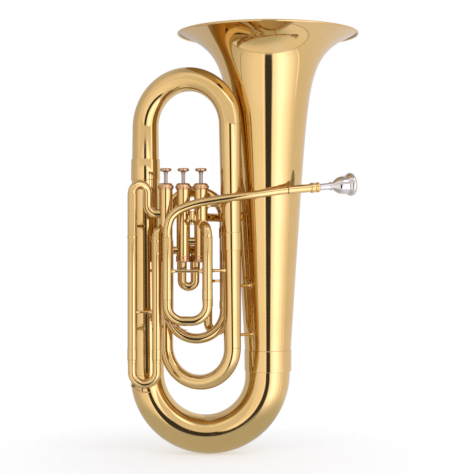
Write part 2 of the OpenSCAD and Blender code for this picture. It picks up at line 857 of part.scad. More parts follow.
module lyre_screw() {
    color(gold)
        along([lyre_at.x, lyre_at.y - 15, lyre_screw_z], [0, 1, 0]) {
            translate([0, 0, 3])
                cylinder(h = 8.4, r = 1.8);
            cylinder(h = 5, r = 3);
            translate([0, 0, 0.5])
                for (m = [0, 1])
                    mirror([0, m, 0])
                        translate([0, 5.4, 0])
                            cylinder(h = 2.4, r = 4.2);
            translate([-2.6, -6, 0.5])
                cube([5.2, 12, 2.4]);
        }
}

// ---- water keys ----
// Bend centre, outer radius of the bend, hinge offset, finger reach, finger drop and tube radius
tuning_key = [[-44.5, -108, 306], tuning_corner + slide_bow_r, [-17.6, -39.6], 20, -8.4, slide_bow_r];
third_key = [[-120.7, -95, 175], 23.8 + port_r, [-5, -38.8], 11, -0.6, port_r];
key_turns = 4;

function key_hinge(k) = k[0] + [k[2][0], 0, k[2][1]];
function key_seat(k, out) = k[0] + (k[1] + out) * [cos(key_angle(k)), 0, sin(key_angle(k))];
function key_angle(k) = k[2][0] < -10 ? 225 : 231;

module water_nipple(k) {
    rod(key_seat(k, -1.2), key_seat(k, 1.4), 2.6);
}

module water_hole(k) {
    rod(key_seat(k, -4), key_seat(k, 3), 1.2);
}

// Two ears on a foot that straddle the lever and carry its pin
module key_saddle(k) {
    h = key_hinge(k);
    color(gold)
        difference() {
            union() {
                for (side = [-1, 1])
                    translate([h.x, h.y + side * 4.1, h.z])
                        rotate([90, 0, 0])
                            cylinder(h = 1.2, r = 2.4, center = true);
                for (side = [-1, 1])
                    translate([h.x - 2, h.y + side * 4.1 - 0.6, h.z])
                        cube([4, 1.2, 6]);
                translate([h.x, h.y + 5.6, h.z])
                    rotate([90, 0, 0])
                        cylinder(h = 11.2, r = 1);
            }
            translate([k[0].x, k[0].y + 20, k[0].z])
                rotate([90, 0, 0])
                    cylinder(h = 40, r = k[1] - 4);
            translate(k[0])
                rotate([90, 0, 0])
                    rotate_extrude()
                        translate([k[1] - k[5], 0])
                            circle(r = k[5] + 0.03);
        }
}

module key_lever(k) {
    h = key_hinge(k);
    seat = key_seat(k, 5);
    tip = h + [k[3], 0, k[4]];
    color(gold)
        difference() {
            union() {
                translate([h.x, h.y + 3, h.z])
                    rotate([90, 0, 0])
                        cylinder(h = 1.6, r = 2.3);
                translate([h.x, h.y - 1.4, h.z])
                    rotate([90, 0, 0])
                        cylinder(h = 1.6, r = 2.3);
                rod([h.x, h.y - 2.2, h.z] + [2.1, 0, 0], tip - [0, 2.2, 0], 0.9);
                rod([h.x, h.y + 2.2, h.z] + [2.1, 0, 0], tip + [0, 2.2, 0], 0.9);
                rod([h.x, h.y - 2.2, h.z] - [2.1, 0, 0], seat - [0, 2.2, 0], 0.9);
                rod([h.x, h.y + 2.2, h.z] - [2.1, 0, 0], seat + [0, 2.2, 0], 0.9);
                translate(tip - [0, 0, 0.9])
                    cylinder(h = 1.8, r = 5.6);
                rod(key_seat(k, 3.8), key_seat(k, 5.8), 4.2);
            }
            translate([h.x, h.y + 5, h.z])
                rotate([90, 0, 0])
                    cylinder(h = 10, r = 1.06);
            rod(key_seat(k, 1), key_seat(k, 3.78), 3.8);
        }
}

module key_cork(k) {
    color("#2a2018")
        rod(key_seat(k, 1.45), key_seat(k, 3.75), 3.7);
}

// The turns of the torsion spring round the hinge pin
module key_spring(k) {
    h = key_hinge(k);
    color("silver")
        translate([h.x, h.y, h.z])
            rotate([90, 0, 0])
                for (t = [0:key_turns - 1])
                    translate([0, 0, (t - (key_turns - 1) / 2) * 0.62])
                        rotate_extrude()
                            translate([1.35, 0])
                                circle(r = 0.27, $fn = 16);
}

module valve_casing_1() { valve_casing(1); }
module valve_casing_2() { valve_casing(2); }
module valve_casing_3() { valve_casing(3); }
module top_cap_1() { top_cap(1); }
module top_cap_2() { top_cap(2); }
module top_cap_3() { top_cap(3); }
module bottom_cap_1() { bottom_cap(1); }
module bottom_cap_2() { bottom_cap(2); }
module bottom_cap_3() { bottom_cap(3); }
module piston_1() { piston(1); }
module piston_2() { piston(2); }
module piston_3() { piston(3); }
module finger_button_1() { finger_button(1); }
module finger_button_2() { finger_button(2); }
module finger_button_3() { finger_button(3); }
module valve_spring_1() { valve_spring(1); }
module valve_spring_2() { valve_spring(2); }
module valve_spring_3() { valve_spring(3); }
module tuning_key_saddle() { key_saddle(tuning_key); }
module tuning_key_lever() { key_lever(tuning_key); }
module tuning_key_cork() { key_cork(tuning_key); }
module tuning_key_spring() { key_spring(tuning_key); }
module third_key_saddle() { key_saddle(third_key); }
module third_key_lever() { key_lever(third_key); }
module third_key_cork() { key_cork(third_key); }
module third_key_spring() { key_spring(third_key); }

bell();
bell_rim_wire();
bell_ferrule();
bottom_bow();
left_branch();
left_ferrule();
top_bow();
right_branch();
right_ferrule();
second_bow();
inner_left_leg();
inner_top_bow();
inner_right_leg();
third_bow();
valve_exit_tube();
valve_casing_1();
valve_casing_2();
valve_casing_3();
knuckles();
top_cap_1();
top_cap_2();
top_cap_3();
bottom_cap_1();
bottom_cap_2();
bottom_cap_3();
cap_felts();
valve_guides();
piston_1();
piston_2();
piston_3();
finger_button_1();
finger_button_2();
finger_button_3();
valve_spring_1();
valve_spring_2();
valve_spring_3();
leadpipe();
mouthpiece_receiver();
mouthpiece();
tuning_sleeves();
tuning_return_tube();
tuning_slide();
first_slide_tubes();
first_slide();
second_slide_tubes();
second_slide();
third_slide_tubes();
third_slide();
front_braces();
body_braces();
lyre_holder();
lyre_screw();
tuning_key_saddle();
tuning_key_lever();
tuning_key_cork();
tuning_key_spring();
third_key_saddle();
third_key_lever();
third_key_cork();
third_key_spring();
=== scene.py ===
"""Builds the finished look of a three-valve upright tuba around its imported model.

Every length below is in millimetres until a mesh is made; meshes are in metres, in the model's frame.
"""

import json
import math

import bmesh
import bpy
from bpy.props import FloatProperty, FloatVectorProperty, IntProperty, PointerProperty
from mathutils import Matrix, Vector


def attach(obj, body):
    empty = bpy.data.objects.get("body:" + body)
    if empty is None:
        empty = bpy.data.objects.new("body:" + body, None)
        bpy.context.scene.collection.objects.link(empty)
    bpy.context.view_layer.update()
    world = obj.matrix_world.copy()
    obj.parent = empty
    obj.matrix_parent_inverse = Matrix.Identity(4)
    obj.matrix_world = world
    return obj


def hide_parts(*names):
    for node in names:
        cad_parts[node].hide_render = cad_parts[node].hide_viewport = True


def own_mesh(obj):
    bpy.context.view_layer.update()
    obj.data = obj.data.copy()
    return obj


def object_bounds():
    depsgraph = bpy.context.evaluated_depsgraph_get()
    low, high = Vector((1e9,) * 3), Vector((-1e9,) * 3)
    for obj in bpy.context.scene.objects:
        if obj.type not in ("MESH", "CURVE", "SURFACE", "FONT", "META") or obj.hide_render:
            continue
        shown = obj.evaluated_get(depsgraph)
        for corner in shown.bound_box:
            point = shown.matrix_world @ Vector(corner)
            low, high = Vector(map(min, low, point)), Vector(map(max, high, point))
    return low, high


bl_info = {
    "name": "Upright tuba builder",
    "version": (1, 0, 0),
    "blender": (4, 5, 0),
    "location": "View3D > Sidebar > Tuba",
    "description": "Builds the brasswork, valves, slides and studio of an upright tuba",
    "category": "Object",
}

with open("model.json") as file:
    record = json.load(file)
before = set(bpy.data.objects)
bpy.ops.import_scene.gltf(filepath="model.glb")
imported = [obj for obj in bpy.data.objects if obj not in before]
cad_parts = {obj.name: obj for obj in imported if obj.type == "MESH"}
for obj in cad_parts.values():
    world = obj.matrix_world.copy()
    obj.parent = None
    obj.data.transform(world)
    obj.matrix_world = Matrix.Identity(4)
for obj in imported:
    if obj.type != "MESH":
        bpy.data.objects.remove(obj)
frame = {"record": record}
CAD_BOX = [list(corner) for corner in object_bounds()]
BODY_OF = {node: body for body, nodes in frame["record"]["behaviour"]["bodies"].items() for node in nodes}
SLOT_OF = {part["node"]: part["material_slot"] for part in frame["record"]["subparts"]}

MM = 0.001
UP = Vector((0, 0, 1))
DOWN = Vector((0, 0, -1))
ACROSS = Vector((1, 0, 0))
BACK = Vector((0, 1, 0))
WHITE = (1, 1, 1, 1)
RAW_INSIDE = "raw_inside"

# ---------------------------------------------------------------- plan of the instrument, in mm

BELL_AXIS = (122.0, 0.0)
BELL_RIM_R = 183.0
HEIGHT = 850.0
BELL_JOINT_Z = 190.0
BELL_EDGE_Z = HEIGHT - 1.75
BELL_THROAT_R, BELL_TAPER, FLARE_LENGTH, FLARE_POWER = 44.6, 0.0633, 169.0, 4.9

LEFT_FOOT, LEFT_TOP = (-121.3, 0.0), (-125.0, 0.0)
RIGHT_TOP, RIGHT_FOOT = (46.0, -75.0), (50.7, -75.0)
INNER_LEFT_FOOT, INNER_LEFT_TOP = (-81.0, -27.0), (-82.4, -27.0)
INNER_RIGHT, THIRD_LEFT = (35.8, -45.0), (-76.2, -52.0)
TUNING_LEFT, TUNING_RIGHT = (-75.5, -108.0), (2.1, -108.0)
THIRD_OUTER, THIRD_INNER, THIRD_DROP = (-144.5, -95.0), (-96.9, -95.0), (-115.6, -78.0)
SECOND_LEFT, SECOND_RIGHT = (-49.3, -53.6), (-23.6, -53.6)
FIRST_LEFT, FIRST_RIGHT = (1.5, -22.0), (35.4, -4.0)
VALVES = {number: (-11.2 - 34.5 * (number - 1), -78.0) for number in (1, 2, 3)}

BOW_Z, TOP_BOW_Z, SECOND_BOW_Z, INNER_BOW_Z, THIRD_BOW_Z = 162.0, 659.0, 220.7, 469.0, 293.0
BOW_BELL_R, BOW_LEFT_R, LEFT_TOP_R = 45.0, 33.6, 26.3
RIGHT_TOP_R, RIGHT_FOOT_R, SECOND_END_R = 22.0, 16.6, 13.2
INNER_BOW_R, THIRD_BOW_R = 11.2, 10.2
CASING_R, BORE_R, PISTON_R, STEM_R = 13.3, 12.1, 12.05, 3.6
SLEEVE_R, SLIDE_R, PORT_R, GAP = 9.9, 9.3, 8.7, 0.06
PORT_SLEEVE_R = PORT_R + 0.7
WALL, BELL_WALL = 0.9, 1.0
LEFT_JOINT_Z, TUNING_JOINT_Z = 574.0, 437.5
FIRST_LOW_Z, SECOND_LOW_Z, THIRD_LOW_Z = 300.0, 374.0, 199.0
INSIDE_CASING = 5.0
FELT_DEPTH, POLISH_DEPTH = 0.0003, 0.00001


def bell_r(z):
    """Outer radius of the bell at height z."""
    cone = BELL_THROAT_R + BELL_TAPER * (z - 185)
    flare = BELL_RIM_R - BELL_THROAT_R - BELL_TAPER * (HEIGHT - 185)
    return cone + flare * (FLARE_LENGTH / (HEIGHT - z + FLARE_LENGTH)) ** FLARE_POWER


def at(plan, z):
    """A plan position raised to height z."""
    return Vector((plan[0], plan[1], z))


def between(a, b, share):
    """The value or vector a given share of the way from a to b."""
    return a + (b - a) * share


def branch(top, foot, z_top, z_foot, z):
    """The point at height z on a straight tube that leans a little."""
    return at(top, z_top).lerp(at(foot, z_foot), (z_top - z) / (z_top - z_foot))


# ---------------------------------------------------------------- settings


def metal_colour(name, description, default):
    return FloatVectorProperty(
        name=name, description=description, default=default, subtype="COLOR", size=3, min=0, max=1)


class TubaFinish(bpy.types.PropertyGroup):
    """Colours and polish of the metals."""

    gold: metal_colour("Lacquered brass", "Colour of the body's brass", (0.93, 0.655, 0.265))
    cap: metal_colour("Valve caps", "Colour of the valve caps", (0.86, 0.55, 0.26))
    button: metal_colour("Finger buttons", "Colour of the finger buttons", (0.78, 0.52, 0.33))
    silver: metal_colour("Silver plate", "Colour of the mouthpiece", (0.83, 0.80, 0.76))
    polish: FloatProperty(
        name="Polish", description="Roughness of the polished brass", default=0.055, min=0, max=1)


class TubaShape(bpy.types.PropertyGroup):
    """Sizes of the small details."""

    sides: IntProperty(name="Tube sides", description="Flats round a drawn tube", default=56, min=16, max=128)
    bell_sides: IntProperty(name="Bell sides", description="Flats round the bell", default=176, min=48, max=256)
    fillet: FloatProperty(name="Fillet", description="Rounding of turned edges, in mm", default=0.35, min=0.05, max=1)
    ribs: IntProperty(name="Knurl ribs", description="Ribs round a valve cap", default=60, min=12, max=90)


class TubaStudio(bpy.types.PropertyGroup):
    """Light of the studio."""

    wall: FloatProperty(name="Room light", description="Brightness of the pale room", default=0.95, min=0, max=5)
    softbox: FloatProperty(name="Softbox", description="Brightness of the tall softbox", default=0.9, min=0, max=20)
    ceiling: FloatProperty(name="Ceiling", description="Brightness of the overhead panel", default=0.42, min=0, max=20)
    between: FloatProperty(
        name="Between tubes", description="Share of the light kept after a second bounce", default=0.45, min=0, max=1)
    card: FloatProperty(
        name="Upper card", description="Brightness of the card behind the camera", default=0.74, min=0, max=5)
    flag: FloatProperty(name="Flag", description="Brightness of the dark flag", default=0.045, min=0, max=1)


# ---------------------------------------------------------------- shader graphs


def feed(tree, slot, value):
    """Links a socket to a slot, or sets the slot's own value."""
    value = getattr(value, "socket", value)
    if isinstance(value, bpy.types.NodeSocket):
        tree.links.new(value, slot)
    else:
        slot.default_value = value


def add_node(tree, kind, settings=None, **values):
    """Adds a node, sets its settings, then feeds its inputs by name."""
    node = tree.nodes.new(kind)
    for key, value in (settings or {}).items():
        setattr(node, key, value)
    for key, value in values.items():
        name = key.replace("_", " ")
        feed(tree, next(s for s in node.inputs if s.name == name and s.enabled), value)
    return node


class Socket:
    """A node socket that adds Math nodes when it is used in an expression."""

    def __init__(self, graph, socket):
        self.graph = graph
        self.socket = socket

    def math(self, operation, *values):
        return self.graph.in_order("ShaderNodeMath", values, {"operation": operation})

    def __add__(self, other):
        return self.math("ADD", self, other)

    def __sub__(self, other):
        return self.math("SUBTRACT", self, other)

    def __mul__(self, other):
        return self.math("MULTIPLY", self, other)

    def __rsub__(self, other):
        return self.math("SUBTRACT", other, self)

    __radd__ = __add__
    __rmul__ = __mul__

    def smooth_step(self, low, high):
        """0 below low, 1 above high, eased between."""
        settings = {"interpolation_type": "SMOOTHSTEP"}
        return self.graph.in_order("ShaderNodeMapRange", (self, low, high, 0.0, 1.0), settings)

    def window(self, low, high, soft):
        """1 between low and high, with edges eased over soft."""
        return self.smooth_step(low - soft, low + soft) * (1 - self.smooth_step(high - soft, high + soft))


class Graph:
    """A node tree that is filled by calls."""

    def __init__(self, tree):
        self.tree = tree
        tree.nodes.clear()

    def node(self, kind, settings=None, out=0, **values):
        """Adds a node whose inputs are fed by name, and gives its output."""
        return Socket(self, add_node(self.tree, kind, settings, **values).outputs[out])

    def in_order(self, kind, values, settings=None):
        """Adds a node whose inputs are fed in their order."""
        node = add_node(self.tree, kind, settings)
        for slot, value in zip(node.inputs, values):
            feed(self.tree, slot, value)
        return Socket(self, node.outputs[0])

    def noise(self, vector, scale, detail=3.0, roughness=0.5):
        return self.node(
            "ShaderNodeTexNoise", out="Fac", Vector=vector, Scale=scale, Detail=detail, Roughness=roughness)

    def stretched(self, vector, scale):
        return self.node("ShaderNodeMapping", Vector=vector, Scale=scale)

    def mix(self, share, first, second):
        """Blends two colours."""
        node = add_node(self.tree, "ShaderNodeMix", {"data_type": "RGBA"})
        for slot, value in zip((node.inputs[0], *node.inputs[6:8]), (share, first, second)):
            feed(self.tree, slot, value)
        return Socket(self, node.outputs[2])

    def blend(self, share, first, second):
        """Blends two shaders."""
        return self.in_order("ShaderNodeMixShader", (share, first, second))

    def seen(self):
        """1 where the camera looks straight at the surface."""
        return self.node("ShaderNodeLightPath", out="Is Camera Ray")

    def show(self, shader, kind="Material"):
        """Ends the tree in its output."""
        add_node(self.tree, "ShaderNodeOutput" + kind, Surface=shader)


def rgba(colour, gain=1.0):
    """A colour with full alpha, brightened by gain."""
    return (*[min(1.0, c * gain) for c in colour[:3]], 1.0)


def new_material(name):
    material = bpy.data.materials.new(name)
    material.use_nodes = True
    return material, Graph(material.node_tree)


def polished_metal(name, colour, roughness, coat, warm, smear=0.05, grain=(900, 900, 40)):
    """Buffed metal: drifting tone, faint buffing grain, wipe marks and an uneven lacquer film."""
    material, graph = new_material(name)
    place = graph.node("ShaderNodeTexCoord", out="Object")
    drift = graph.noise(place, 9.0, 4.0)
    mottle = graph.noise(place, 70.0, 3.0)
    lines = graph.noise(graph.stretched(place, grain), 1.0, 2.0, 0.6)
    wiped = graph.noise(graph.stretched(place, (30, 30, 12)), 1.0, 5.0, 0.62).smooth_step(0.52, 0.72)
    specks = graph.noise(place, 420.0, 1.0).smooth_step(0.70, 0.78)
    base = graph.mix(drift.smooth_step(0.35, 0.65), rgba(colour, 1.02), rgba(warm))
    base = graph.mix(mottle.smooth_step(0.45, 0.75) * 0.25, base, rgba(warm, 0.97))
    base = graph.mix(specks * 0.35, base, rgba(warm, 0.72))
    raw = graph.node("ShaderNodeAttribute", {"attribute_name": RAW_INSIDE}, out="Fac")
    base = graph.mix(raw, base, rgba(warm, 0.78))
    rough = roughness + wiped * smear + (lines - 0.5) * (roughness * 0.7) + specks * 0.12 + raw * 0.42
    height = lines * 0.5 + mottle * 1.4 + wiped * 0.3
    bump = graph.node("ShaderNodeBump", Height=height, Strength=0.35, Distance=POLISH_DEPTH)
    lacquer = coat * (1 - wiped * 0.35) * (1 - raw) if coat else 0.0
    graph.show(graph.node("ShaderNodeBsdfPrincipled", Base_Color=base, Metallic=1.0, Roughness=rough, Normal=bump,
                          Coat_Weight=lacquer, Coat_Roughness=0.03, Coat_IOR=1.5))
    return material


def soft_material(name, colour, second, scale, roughness):
    """Felt or cork: two tones in fine grains over a rough, uneven surface."""
    material, graph = new_material(name)
    place = graph.node("ShaderNodeTexCoord", out="Object")
    grain = graph.noise(place, scale, 4.0, 0.7)
    cells = graph.node("ShaderNodeTexVoronoi", out="Distance", Vector=place, Scale=scale * 0.6)
    base = graph.mix(grain.smooth_step(0.35, 0.7), rgba(colour), rgba(second))
    bump = graph.node("ShaderNodeBump", Height=grain + cells * 0.6, Strength=0.8, Distance=FELT_DEPTH)
    rough = roughness + grain * 0.15
    graph.show(graph.node("ShaderNodeBsdfPrincipled", Base_Color=base, Roughness=rough, Normal=bump))
    return material


def make_materials(scene):
    """The finishes by material slot."""
    finish = scene.tuba_finish
    gold, cap, button, silver = (tuple(c) for c in (finish.gold, finish.cap, finish.button, finish.silver))
    rough = finish.polish
    return {
        "gold_lacquer": polished_metal("gold_lacquer", gold, rough, 0.6, (0.91, 0.63, 0.24)),
        "cap_brass": polished_metal("cap_brass", cap, rough * 1.6, 0.4, (0.82, 0.50, 0.24)),
        "button_brass": polished_metal("button_brass", button, rough * 2.0, 0.3, (0.72, 0.46, 0.28)),
        "key_nickel": polished_metal("key_brass", cap, rough * 1.8, 0.3, (0.80, 0.50, 0.27)),
        "nickel": polished_metal("nickel", (0.62, 0.52, 0.43), 0.14, 0.0, (0.52, 0.43, 0.34), grain=(60, 60, 1400)),
        "silver_plate": polished_metal("silver_plate", silver, 0.07, 0.0, (0.80, 0.755, 0.69), smear=0.06),
        "spring_steel": polished_metal("spring_steel", (0.62, 0.61, 0.60), 0.22, 0.0, (0.50, 0.49, 0.48)),
        "felt": soft_material("felt", (0.74, 0.71, 0.64), (0.58, 0.54, 0.47), 900.0, 0.82),
        "cork": soft_material("cork", (0.035, 0.026, 0.02), (0.11, 0.075, 0.05), 700.0, 0.6),
    }


MATERIALS = {}


# ---------------------------------------------------------------- geometry node trees


def new_tree(name, inputs):
    """A geometry tree with a geometry in and out, and the named inputs."""
    tree = bpy.data.node_groups.new(name, "GeometryNodeTree")
    tree.interface.new_socket("Geometry", in_out="INPUT", socket_type="NodeSocketGeometry")
    tree.interface.new_socket("Geometry", in_out="OUTPUT", socket_type="NodeSocketGeometry")
    for label, kind in inputs:
        tree.interface.new_socket(label, in_out="INPUT", socket_type="NodeSocket" + kind)
    return tree


def finish_tree(tree, geometry, material):
    """Ends a tree in Realize Instances and Set Material."""
    real = add_node(tree, "GeometryNodeRealizeInstances", Geometry=geometry)
    painted = add_node(tree, "GeometryNodeSetMaterial", Geometry=real.outputs[0], Material=material)
    out = tree.nodes.new("NodeGroupOutput")
    tree.links.new(painted.outputs[0], out.inputs[0])
    return tree


def tube_tree():
    """Sweeps a circle along edge chains; each point's tube_radius attribute sets the size."""
    tree = new_tree("swept_tube", [("Sides", "Int"), ("Caps", "Bool"), ("Finish", "Material")])
    given = tree.nodes.new("NodeGroupInput").outputs
    curve = add_node(tree, "GeometryNodeMeshToCurve", Mesh=given["Geometry"])
    radius = add_node(tree, "GeometryNodeInputNamedAttribute", {"data_type": "FLOAT"}, Name="tube_radius")
    circle = add_node(tree, "GeometryNodeCurvePrimitiveCircle", Resolution=given["Sides"], Radius=1.0)
    swept = add_node(tree, "GeometryNodeCurveToMesh", Curve=curve.outputs[0], Profile_Curve=circle.outputs[0],
                     Scale=radius.outputs[0], Fill_Caps=given["Caps"])
    return finish_tree(tree, swept.outputs[0], given["Finish"])


def rib_tree():
    """Sets small ribs round a circle, each turned to face outwards."""
    inputs = [("Count", "Int"), ("Ring Radius", "Float"), ("Rib Size", "Vector"), ("Finish", "Material")]
    tree = new_tree("ring_of_ribs", inputs)
    given = tree.nodes.new("NodeGroupInput").outputs
    circle = add_node(tree, "GeometryNodeMeshCircle", Vertices=given["Count"], Radius=given["Ring Radius"])
    rib = add_node(tree, "GeometryNodeMeshCylinder", Vertices=6, Radius=0.5, Depth=1.0)
    place = add_node(tree, "GeometryNodeInputPosition")
    facing = add_node(tree, "FunctionNodeAlignEulerToVector", {"axis": "X"}, Vector=place.outputs[0])
    ribs = add_node(tree, "GeometryNodeInstanceOnPoints", Points=circle.outputs[0], Instance=rib.outputs[0],
                    Rotation=facing.outputs[0], Scale=given["Rib Size"])
    return finish_tree(tree, ribs.outputs[0], given["Finish"])


def place_object(name, data):
    """A new object of the scene, for a mesh or a camera."""
    made = bpy.data.objects.new(name, data)
    bpy.context.scene.collection.objects.link(made)
    return made


def plain_mesh(carrier):
    """The mesh of an object with its modifiers applied; the object is removed."""
    bpy.context.view_layer.update()
    result = bpy.data.meshes.new_from_object(carrier.evaluated_get(bpy.context.evaluated_depsgraph_get()))
    bpy.data.objects.remove(carrier)
    return result


def apply_tree(mesh, tree, values):
    """Runs a tree on a mesh and returns the result as a plain mesh."""
    carrier = place_object("carrier", mesh)
    modifier = carrier.modifiers.new("shape", "NODES")
    modifier.node_group = tree
    for item in tree.interface.items_tree:
        if item.item_type == "SOCKET" and item.in_out == "INPUT" and item.name in values:
            modifier[item.identifier] = values[item.name]
    carrier.update_tag()
    return plain_mesh(carrier)


TREES = {}


# ---------------------------------------------------------------- mesh building


class Path:
    """A tube's centre line, in mm, with its outer radius at each point."""

    def __init__(self, start, radius):
        self.points = [Vector(start)]
        self.radii = [radius]

    def line(self, end, radius=None):
        self.points.append(Vector(end))
        self.radii.append(self.radii[-1] if radius is None else radius)
        return self

    def arc(self, centre, axis, degrees, radius=None, every=4.0):
        steps = max(3, math.ceil(abs(degrees) / every))
        arm, from_r = self.points[-1] - Vector(centre), self.radii[-1]
        to_r = from_r if radius is None else radius
        for step in range(1, steps + 1):
            turn = Matrix.Rotation(math.radians(degrees * step / steps), 3, axis)
            self.points.append(Vector(centre) + turn @ arm)
            self.radii.append(between(from_r, to_r, step / steps))
        return self

    def u_turn(self, end, lift, radius=None):
        """A half turn from the last point to the upright tube at plan position end, over (+1) or under (-1)."""
        start = self.points[-1]
        finish = at(end, start.z)
        axis = (finish - start).cross(UP) * -lift
        return self.arc((start + finish) / 2, axis.normalized(), 180, radius, every=3.5)

    def enter(self, valve, bend_radius, rising=True):
        """A quarter bend from an upright tube, then a level run to a point inside the valve's casing."""
        start = self.points[-1]
        heading = (at(valve, start.z) - start).normalized()
        travel = UP if rising else DOWN
        self.arc(start + heading * bend_radius, travel.cross(heading), 90, every=5.0)
        goal = at(valve, self.points[-1].z)
        return self.line(goal - (goal - self.points[-1]).normalized() * INSIDE_CASING)


def through(points, radius):
    """A path of one radius through points."""
    path = Path(points[0], radius)
    for point in points[1:]:
        path.line(point)
    return path


def sweep(path, wall=WALL, sides=None, saddle=None):
    """A hollow tube, or a solid rod when wall is 0, as a mesh in metres."""
    count = len(path.points)
    mesh = bpy.data.meshes.new("path")
    mesh.from_pydata([p * MM for p in path.points], [(i, i + 1) for i in range(count - 1)], [])
    mesh.attributes.new("tube_radius", "FLOAT", "POINT").data.foreach_set("value", [r * MM for r in path.radii])
    values = {"Sides": sides or bpy.context.scene.tuba_shape.sides, "Caps": wall == 0,
              "Finish": MATERIALS["gold_lacquer"]}
    tube = apply_tree(mesh, TREES["tube"], values)
    point_out(tube)
    if wall:
        tube = thicken(tube, wall)
    if saddle:
        cut_to_casing(tube, *saddle)
    return tube


def point_out(mesh):
    """Turns a mesh's faces outwards, judged by its flux from its centre."""
    centre = sum((v.co for v in mesh.vertices), Vector()) / len(mesh.vertices)
    flux = sum((p.center - centre).dot(p.normal) * p.area for p in mesh.polygons)
    if flux < 0:
        mesh.flip_normals()


def thicken(mesh, wall):
    """Gives an open tube its wall, inwards, with closed ends."""
    carrier = place_object("carrier", mesh)
    shell = carrier.modifiers.new("wall", "SOLIDIFY")
    shell.thickness = wall * MM
    shell.offset = -1
    return plain_mesh(carrier)


def cut_to_casing(mesh, casing, came_from):
    """Fits the end of a level tube to a round casing, so that it stops in the casing's wall."""
    overlap = 0.25
    centre = Vector((casing[0], casing[1])) * MM
    heading = Vector((casing[0] - came_from[0], casing[1] - came_from[1])).normalized()
    side = Vector((-heading.y, heading.x))
    limit = (CASING_R - overlap) * MM
    for vertex in mesh.vertices:
        offset = vertex.co.xy - centre
        if offset.length < limit:
            across = offset.dot(side)
            back = math.sqrt(max(limit * limit - across * across, 0))
            vertex.co.xy = centre - heading * back + side * across


def made_mesh(build, name):
    """The mesh of a bmesh, which is freed."""
    mesh = bpy.data.meshes.new(name)
    build.to_mesh(mesh)
    build.free()
    return mesh


def rounded(outline, fillet, steps=3):
    """Rounds each corner of a closed outline of (radius, height) points."""
    result = []
    count = len(outline)
    for i, corner in enumerate(outline):
        here = Vector(corner[:2])
        size = corner[2] if len(corner) > 2 else fillet
        before, after = Vector(outline[i - 1][:2]), Vector(outline[(i + 1) % count][:2])
        a, b = before - here, after - here
        size = min(size, a.length * 0.45, b.length * 0.45)
        if size < 0.02 or here.x < 0.001 or abs(a.normalized().dot(b.normalized())) > 0.985:
            result.append(here)
            continue
        start, end = here + a.normalized() * size, here + b.normalized() * size
        for step in range(steps + 1):
            share = step / steps
            result.append(start.lerp(here, share).lerp(here.lerp(end, share), share))
    return result


def lathe(outline, origin, axis=UP, fillet=None, sides=72):
    """Turns a closed outline of (radius, height) points about an axis through origin, a point or a plan position."""
    fillet = bpy.context.scene.tuba_shape.fillet if fillet is None else fillet
    points = rounded(outline, fillet) if fillet else [Vector(p[:2]) for p in outline]
    turn = UP.rotation_difference(Vector(axis)).to_matrix()
    start = Vector(origin).to_3d()
    build = bmesh.new()
    rings = []
    for point in points:
        spots = circle(point.x, sides) if point.x > 0.001 else [(0, 0)]
        rings.append([build.verts.new((start + turn @ Vector((x, y, point.y))) * MM) for x, y in spots])
    for i, ring in enumerate(rings):
        following = rings[(i + 1) % len(rings)]
        for k in range(sides):
            m = (k + 1) % sides
            add_face(build, [*corners_of(ring, k, m), *corners_of(following, m, k)])
    bmesh.ops.recalc_face_normals(build, faces=build.faces)
    mesh = made_mesh(build, "turned")
    point_out(mesh)
    return mesh


def corners_of(ring, *places):
    """The points of a ring at two places; a ring may be a single point."""
    return [ring[place % len(ring)] for place in places]


def add_face(build, corners):
    """Adds a face from its corners, less the doubled ones."""
    corners = list(dict.fromkeys(corners))
    if len(corners) > 2:
        build.faces.new(corners)


def tube_outline(r_in, *steps):
    """A closed outline of a sleeve: bore r_in, and (radius, height) steps up its outside."""
    low, high = steps[0][1], steps[-1][1]
    return [(r_in, low), *steps, (r_in, high)]


def plate(outline, thickness, origin, across, up, bevel=0.3):
    """A flat plate of any outline, in the plane of across and up, centred in its thickness, with eased edges."""
    across, up = Vector(across).normalized(), Vector(up).normalized()
    normal = across.cross(up)
    build = bmesh.new()
    verts = [build.verts.new((Vector(origin) + across * x + up * y - normal * thickness / 2) * MM)
             for x, y in outline]
    face = build.faces.new(verts)
    lifted = bmesh.ops.extrude_face_region(build, geom=[face])["geom"]
    raised = [part for part in lifted if isinstance(part, bmesh.types.BMVert)]
    bmesh.ops.translate(build, vec=normal * thickness * MM, verts=raised)
    bmesh.ops.recalc_face_normals(build, faces=build.faces)
    sharp = [e for e in build.edges if e.calc_face_angle(0) > 0.9]
    bmesh.ops.bevel(build, geom=sharp, offset=bevel * MM, segments=2, affect="EDGES", profile=0.6)
    return made_mesh(build, "plate")


def circle(radius, count):
    """Points round a circle."""
    angles = [2 * math.pi * k / count for k in range(count)]
    return [(radius * math.cos(a), radius * math.sin(a)) for a in angles]


def winding(radius, turns, steps):
    """Points of a wound wire as seen along its axis, both ends included."""
    angles = [2 * math.pi * turns * step / steps for step in range(steps + 1)]
    return [(radius * math.cos(a), radius * math.sin(a)) for a in angles]


def oval(width, height, points=40, power=2.0):
    """A closed oval outline; power 2 is an ellipse, lower is nearer to a diamond."""
    result = []
    for k in range(points):
        angle = 2 * math.pi * k / points
        x, y = (math.copysign(abs(n) ** (2 / power), n) for n in (math.cos(angle), math.sin(angle)))
        result.append((width * x, height * y))
    return result


